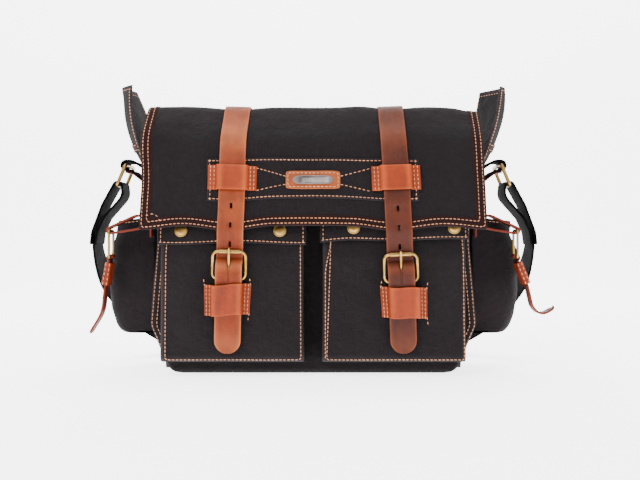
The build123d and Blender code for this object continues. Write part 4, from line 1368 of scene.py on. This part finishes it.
def build_rear_pocket():
    cloth = layer("rear_pocket_cloth", lambda x, z: rear_face(x, z, 2.3), spread(-REAR_HALF, REAR_HALF, 4),
                  spread(*REAR_Z, 4), 2.0, (0, 1, 0), "canvas",
                  wear_and_highlight=lambda x, z: 0.3 * ease(abs(x), REAR_HALF - 2, REAR_HALF))
    attach(cloth, "root", "canvas", "rear_pocket")
    for inset in (3.2, 8.6):
        half, low, high = REAR_HALF - inset, REAR_Z[0] + inset, REAR_Z[1] - 2
        path = Track([(-half, high), (-half, low), (half, low), (half, high)], [4, 4])
        sew("root", [rear_face(*path.at(m)[0], 2.65) for m in spread(0, path.length, 3)])
    tape = layer("zip_tape_cloth", lambda x, z: body_face(x, z, True) + Vector((0, 1.0, 0)),
                 spread(-REAR_HALF + 4, REAR_HALF - 4, 4), spread(REAR_Z[1] + 0.5, ZIP_Z + 9, 2), 0.8, (0, 1, 0),
                 "webbing")
    attach(tape, "root", "webbing", "rear_zip_tape")
    sew("root", [body_face(x, ZIP_Z + 7, True) + Vector((0, 1.3, 0))
                 for x in spread(-REAR_HALF + 6, REAR_HALF - 6, 4)])


def teeth_tree():
    """Geometry nodes: two rows of zip teeth along X, set half a step apart."""
    tree = bpy.data.node_groups.new("Zip teeth", "GeometryNodeTree")
    face = tree.interface
    face.new_socket("Geometry", in_out="INPUT", socket_type="NodeSocketGeometry")
    face.new_socket("Pitch", in_out="INPUT", socket_type="NodeSocketFloat")
    face.new_socket("Tooth", in_out="INPUT", socket_type="NodeSocketVector")
    face.new_socket("Material", in_out="INPUT", socket_type="NodeSocketMaterial")
    face.new_socket("Geometry", in_out="OUTPUT", socket_type="NodeSocketGeometry")
    add, link = tree.nodes.new, tree.links.new
    given, result = add("NodeGroupInput"), add("NodeGroupOutput")
    line = add("GeometryNodeMeshToCurve")
    even = add("GeometryNodeResampleCurve")
    tooth = add("GeometryNodeMeshCube")
    place, solid, paint = (add("GeometryNodeInstanceOnPoints"), add("GeometryNodeRealizeInstances"),
                           add("GeometryNodeSetMaterial"))
    even.mode = "LENGTH"
    link(given.outputs["Geometry"], line.inputs["Mesh"])
    link(line.outputs["Curve"], even.inputs["Curve"])
    link(given.outputs["Pitch"], even.inputs["Length"])
    link(even.outputs["Curve"], place.inputs["Points"])
    link(given.outputs["Tooth"], tooth.inputs["Size"])
    link(tooth.outputs["Mesh"], place.inputs["Instance"])
    link(place.outputs["Instances"], solid.inputs["Geometry"])
    link(solid.outputs["Geometry"], paint.inputs["Geometry"])
    link(given.outputs["Material"], paint.inputs["Material"])
    link(paint.outputs["Geometry"], result.inputs["Geometry"])
    return tree


def stitch_tree():
    """Geometry nodes: small slanted stitches evenly spaced along every row."""
    tree = bpy.data.node_groups.new("Stitch rows", "GeometryNodeTree")
    face = tree.interface
    face.new_socket("Geometry", in_out="INPUT", socket_type="NodeSocketGeometry")
    face.new_socket("Pitch", in_out="INPUT", socket_type="NodeSocketFloat")
    face.new_socket("Stitch", in_out="INPUT", socket_type="NodeSocketVector")
    face.new_socket("Material", in_out="INPUT", socket_type="NodeSocketMaterial")
    face.new_socket("Geometry", in_out="OUTPUT", socket_type="NodeSocketGeometry")
    add, link = tree.nodes.new, tree.links.new
    given, result = add("NodeGroupInput"), add("NodeGroupOutput")
    line = add("GeometryNodeMeshToCurve")
    even = add("GeometryNodeResampleCurve")
    bead = add("GeometryNodeMeshUVSphere")
    tangent, turn = add("GeometryNodeInputTangent"), add("FunctionNodeAlignRotationToVector")
    place, shape = add("GeometryNodeInstanceOnPoints"), add("GeometryNodeTransform")
    solid, smooth, paint = (add("GeometryNodeRealizeInstances"), add("GeometryNodeSetShadeSmooth"),
                            add("GeometryNodeSetMaterial"))
    even.mode = "LENGTH"
    turn.axis = "Z"
    bead.inputs["Segments"].default_value = 6
    bead.inputs["Rings"].default_value = 5
    bead.inputs["Radius"].default_value = 1.0
    link(given.outputs["Geometry"], line.inputs["Mesh"])
    link(line.outputs["Curve"], even.inputs["Curve"])
    link(given.outputs["Pitch"], even.inputs["Length"])
    link(even.outputs["Curve"], place.inputs["Points"])
    link(bead.outputs["Mesh"], shape.inputs["Geometry"])
    link(given.outputs["Stitch"], shape.inputs["Scale"])
    link(shape.outputs["Geometry"], place.inputs["Instance"])
    link(tangent.outputs["Tangent"], turn.inputs["Vector"])
    link(turn.outputs["Rotation"], place.inputs["Rotation"])
    link(place.outputs["Instances"], solid.inputs["Geometry"])
    link(solid.outputs["Geometry"], smooth.inputs["Geometry"])
    link(smooth.outputs["Geometry"], paint.inputs["Geometry"])
    link(given.outputs["Material"], paint.inputs["Material"])
    link(paint.outputs["Geometry"], result.inputs["Geometry"])
    return tree


def grow(name, rows, tree, values):
    """Runs a geometry node tree on rows of points and returns the result as a plain mesh object."""
    points, edges = [], []
    for row in rows:
        start = len(points)
        points += row
        edges += [(start + index, start + index + 1) for index in range(len(row) - 1)]
    mesh = bpy.data.meshes.new(name + "_rows")
    mesh.from_pydata(points, edges, [])
    source = bpy.data.objects.new(name + "_rows", mesh)
    bpy.context.scene.collection.objects.link(source)
    modifier = source.modifiers.new("grow", "NODES")
    modifier.node_group = tree
    for item in tree.interface.items_tree:
        if item.in_out == "INPUT" and item.name in values:
            modifier[item.identifier] = values[item.name]
    bpy.context.view_layer.update()
    evaluated = source.evaluated_get(bpy.context.evaluated_depsgraph_get())
    result = bpy.data.meshes.new_from_object(evaluated)
    result.name = name
    source.modifiers.remove(modifier)
    bpy.data.objects.remove(source)
    piece = bpy.data.objects.new(name, result)
    bpy.context.scene.collection.objects.link(piece)
    if not result.polygons:
        raise RuntimeError(name + " has no faces")
    return piece


def build_stitching(sizes):
    tree = stitch_tree()
    stitch = (sizes.thread_radius * MM, sizes.thread_radius * MM, sizes.stitch_length / 2 * MM)
    for body, rows in SEAMS.items():
        piece = grow(body + "_stitches", rows, tree,
                     {"Pitch": sizes.stitch_pitch * MM, "Stitch": stitch, "Material": finish("thread")})
        attach(piece, body, "thread")


def build_zip():
    tree = teeth_tree()
    rows = []
    for shift, level in ((0.0, -0.9), (0.9, 0.9)):
        rows.append([Vector((x + shift, body_face(x, ZIP_Z + level, True).y + 1.9, ZIP_Z + level)) * MM
                     for x in spread(-ZIP_HALF, ZIP_HALF, 6)])
    teeth = grow("zip_teeth_brass", rows, tree,
                 {"Pitch": 1.8 * MM, "Tooth": (1.0 * MM, 1.5 * MM, 2.6 * MM), "Material": finish("brass")})
    attach(teeth, "root", "brass", "rear_zip_teeth")


# ---------------------------------------------------------------- the padded inside
INSERT_HALF = 160.0
INSERT_Y = (-49.0, 54.0)
INSERT_Z = (4.5, 222.0)
PAD = 9.0
DIVIDER_X = 52.0


def pad(corner, opposite, name, look="lining"):
    """A foam board in brushed lining: soft edges and slightly full faces."""
    low, high = Vector(corner), Vector(opposite)
    centre, half = (low + high) / 2, (high - low) / 2
    bm = bmesh.new()
    bmesh.ops.create_cube(bm, size=2.0)
    bmesh.ops.subdivide_edges(bm, edges=bm.edges[:], cuts=13, use_grid_fill=True)
    thin = min(half)
    for vertex in bm.verts:
        unit = vertex.co.copy()
        place = Vector([unit[i] * half[i] for i in range(3)])
        core = Vector([max(-half[i] + thin * 0.8, min(half[i] - thin * 0.8, place[i])) for i in range(3)])
        away = place - core
        if away.length > thin * 0.8:
            place = core + away.normalized() * thin * 0.8
        vertex.co = (centre + place) * MM
    mesh = bpy.data.meshes.new(name)
    bmesh.ops.recalc_face_normals(bm, faces=bm.faces)
    bm.to_mesh(mesh)
    bm.free()
    layer_uv = mesh.uv_layers.new(name="UVMap")
    for loop in mesh.loops:
        co = mesh.vertices[loop.vertex_index].co
        layer_uv.data[loop.index].uv = (co.x + co.y, co.z + co.y * 0.5)
    mesh.shade_smooth()
    mesh.materials.append(finish(look))
    piece = bpy.data.objects.new(name, mesh)
    bpy.context.scene.collection.objects.link(piece)
    return piece


def build_inside():
    low_y, high_y = INSERT_Y
    low_z, high_z = INSERT_Z
    half = INSERT_HALF
    boards = {
        "insert_front": ((-half, low_y, low_z), (half, low_y + PAD, high_z)),
        "insert_back": ((-half, high_y - PAD, low_z), (half, high_y, high_z)),
        "insert_left": ((-half, low_y + PAD, low_z), (-half + PAD, high_y - PAD, high_z)),
        "insert_right": ((half - PAD, low_y + PAD, low_z), (half, high_y - PAD, high_z)),
        "insert_floor": ((-half + PAD, low_y + PAD, low_z), (half - PAD, high_y - PAD, low_z + PAD)),
    }
    for name, corners in boards.items():
        piece = attach(pad(*corners, name), "root", "lining", "padded_insert")
    for side, sign in SIDES.items():
        x = sign * DIVIDER_X
        board = pad((x - 4, low_y + PAD + 0.3, low_z + PAD + 0.3), (x + 4, high_y - PAD - 0.3, high_z - 22),
                    side + "_divider_board")
        attach(board, "root", "lining", side + "_divider")


# ---------------------------------------------------------------- the stage
CAMERA_X = 0.0072
CAMERA_Y = -1.005
CAMERA_Z = 0.143
LENS = 50.0


def build_stage():
    depth, rise, radius = 2.2, 2.4, 0.9
    sweep = Track([(-3.0, 0), (depth, 0), (depth, rise)], [radius])
    marks = spread(0, sweep.length, 0.08)
    points, faces = [], []
    for mark in marks:
        y, z = sweep.at(mark)[0]
        points += [Vector((-4, y, z)) / MM, Vector((4, y, z)) / MM]
    for index in range(len(marks) - 1):
        faces.append((2 * index, 2 * index + 1, 2 * index + 3, 2 * index + 2))
    floor = make_piece("studio_sweep", points, faces, [(0, 0)] * len(points), "paper")

    def softbox(name, place, target, size, power):
        data = bpy.data.lights.new(name, "AREA")
        data.shape = "RECTANGLE"
        data.size, data.size_y = size
        data.energy = power
        lamp = bpy.data.objects.new(name, data)
        bpy.context.scene.collection.objects.link(lamp)
        lamp.location = place
        lamp.rotation_euler = (Vector(target) - Vector(place)).to_track_quat("-Z", "Y").to_euler()

    softbox("key_box", (-0.7, -1.2, 1.5), (0, 0, 0.15), (1.0, 0.7), 40)
    softbox("fill_box", (1.1, -1.3, 0.9), (0, 0, 0.15), (1.0, 1.0), 8)
    softbox("top_box", (0, 0.3, 1.7), (0, 0, 0.1), (1.6, 1.0), 24)
    softbox("paper_box", (0, 1.0, 2.2), (0, 1.9, 0.6), (3.0, 1.0), 60)
    world = bpy.data.worlds.new("studio")
    world.use_nodes = True
    world.node_tree.nodes["Background"].inputs[0].default_value = (1, 1, 1, 1)
    world.node_tree.nodes["Background"].inputs[1].default_value = 0.35
    bpy.context.scene.world = world

    data = bpy.data.cameras.new("view")
    data.lens = LENS
    data.sensor_width = 36.0
    camera = bpy.data.objects.new("view", data)
    bpy.context.scene.collection.objects.link(camera)
    camera.location = (CAMERA_X, CAMERA_Y, CAMERA_Z)
    camera.rotation_euler = (math.pi / 2, 0, 0)
    bpy.context.scene.camera = camera


# ---------------------------------------------------------------- operators
class BagOperator:
    """What every builder of the bag shares."""

    bl_options = {"REGISTER", "UNDO"}

    def execute(self, context):
        self.build(context.scene.bag_sizes)
        return {"FINISHED"}


def operator(name, label, words, build):
    """An operator class that runs one build function."""
    members = {"__doc__": words, "bl_idname": "camera_bag." + name, "bl_label": label,
               "build": lambda self, sizes: build(sizes)}
    return type("CAMERABAG_OT_" + name, (BagOperator, bpy.types.Operator), members)


def both_sides(*builders):
    def build(sizes):
        for side, sign in SIDES.items():
            for builder in builders:
                builder(side, sign)
    return build


def build_straps(sizes):
    for side, sign in SIDES.items():
        build_buckle_strap(side, sign, sizes.strap_width, sizes.leather)
        build_tail(side, sign, sizes.strap_width, sizes.leather)
        build_upper_keeper(side, sign, sizes.strap_width)
        build_lower_keeper(side, sign, sizes.strap_width)


# The fold is sewn inside the back panel, crosses to the flap's underside and is sewn on there.
FOLD_INSET = 5.0
FOLD_DOWN_BACK = 12.0
FOLD_BEHIND_FACE = 3.9
FOLD_MEETS_FLAP = 5.0
FOLD_ALONG_FLAP = 9.0
FOLD_UNDER_FLAP = 1.9
FOLD_THICKNESS = 1.2


def build_flap_fold(cloth):
    """The sewn fold that joins the back panel to the flap and bends as the flap opens."""
    def place(u, share):
        x = u * (body_half(BACK_TOP) - FOLD_INSET)
        height = BACK_TOP - FOLD_DOWN_BACK * (1 - min(1, share))
        low = body_face(x, height, True) + Vector((0, -FOLD_BEHIND_FACE, 0))
        high = flap_point(x, FOLD_MEETS_FLAP + FOLD_ALONG_FLAP * max(0, share - 2), -cloth - FOLD_UNDER_FLAP)
        return low.lerp(high, ease(share, 1, 2))

    piece = layer("flap_fold_cloth", place, spread(-1, 1, 0.02), spread(0, 3, 0.1), FOLD_THICKNESS, (0, -1, 0),
                  "canvas")
    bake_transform(piece)
    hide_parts("flap_canvas")


def build_flap_group(sizes):
    build_flap(sizes.cloth)
    build_flap_fold(sizes.cloth)
    build_band()
    build_label()


OPERATORS = [
    operator("stage", "Studio", "Makes the sweep, the lights and the camera", lambda sizes: build_stage()),
    operator("shoulder_strap", "Shoulder strap", "Makes the webbing, its ends and its tabs",
             lambda sizes: build_shoulder_strap(sizes.webbing_width, sizes.webbing)),
    operator("body", "Main body", "Makes the front, back, base and side cloths", lambda sizes: build_body()),
    operator("wings", "Wings", "Makes the folded-out tops of the sides", both_sides(build_wing)),
    operator("flap", "Flap", "Makes the flap, its hem, band and label", build_flap_group),
    operator("straps", "Buckle straps", "Makes the leather straps and keepers", build_straps),
    operator("front_pockets", "Front pockets", "Makes both front pockets, flaps and snaps",
             both_sides(build_front_pocket)),
    operator("side_pockets", "Side pockets", "Makes both side pouches", both_sides(build_pouch)),
    operator("side_straps", "Side straps", "Makes the thin leather side straps", both_sides(build_side_strap)),
    operator("rear_pocket", "Rear pocket", "Makes the rear pocket and its zip",
             lambda sizes: (build_rear_pocket(), build_zip())),
    operator("inside", "Padded inside", "Makes the padded insert and its dividers", lambda sizes: build_inside()),
    operator("brass", "Brass", "Finishes buckles, rings and rollers", lambda sizes: build_brass()),
    operator("stitching", "Stitching", "Sews every row of stitches", build_stitching),
]


class CAMERABAG_PT_panel(bpy.types.Panel):
    """Lists the bag's builders and sizes."""

    bl_label = "Camera bag"
    bl_idname = "CAMERABAG_PT_panel"
    bl_space_type = "VIEW_3D"
    bl_region_type = "UI"
    bl_category = "Camera bag"

    def draw(self, context):
        for group in (context.scene.bag_sizes, context.scene.bag_colours):
            for name in group.__annotations__:
                self.layout.prop(group, name)
        for made in OPERATORS:
            self.layout.operator(made.bl_idname)


CLASSES = [BagSizes, BagColours, *OPERATORS, CAMERABAG_PT_panel]


def register():
    for made in CLASSES:
        bpy.utils.register_class(made)
    bpy.types.Scene.bag_sizes = bpy.props.PointerProperty(type=BagSizes)
    bpy.types.Scene.bag_colours = bpy.props.PointerProperty(type=BagColours)


def unregister():
    del bpy.types.Scene.bag_sizes
    del bpy.types.Scene.bag_colours
    for made in reversed(CLASSES):
        bpy.utils.unregister_class(made)


def main():
    register()
    for made in OPERATORS:
        group, name = made.bl_idname.split(".")
        getattr(getattr(bpy.ops, group), name)()


if __name__ == "__main__":
    main()
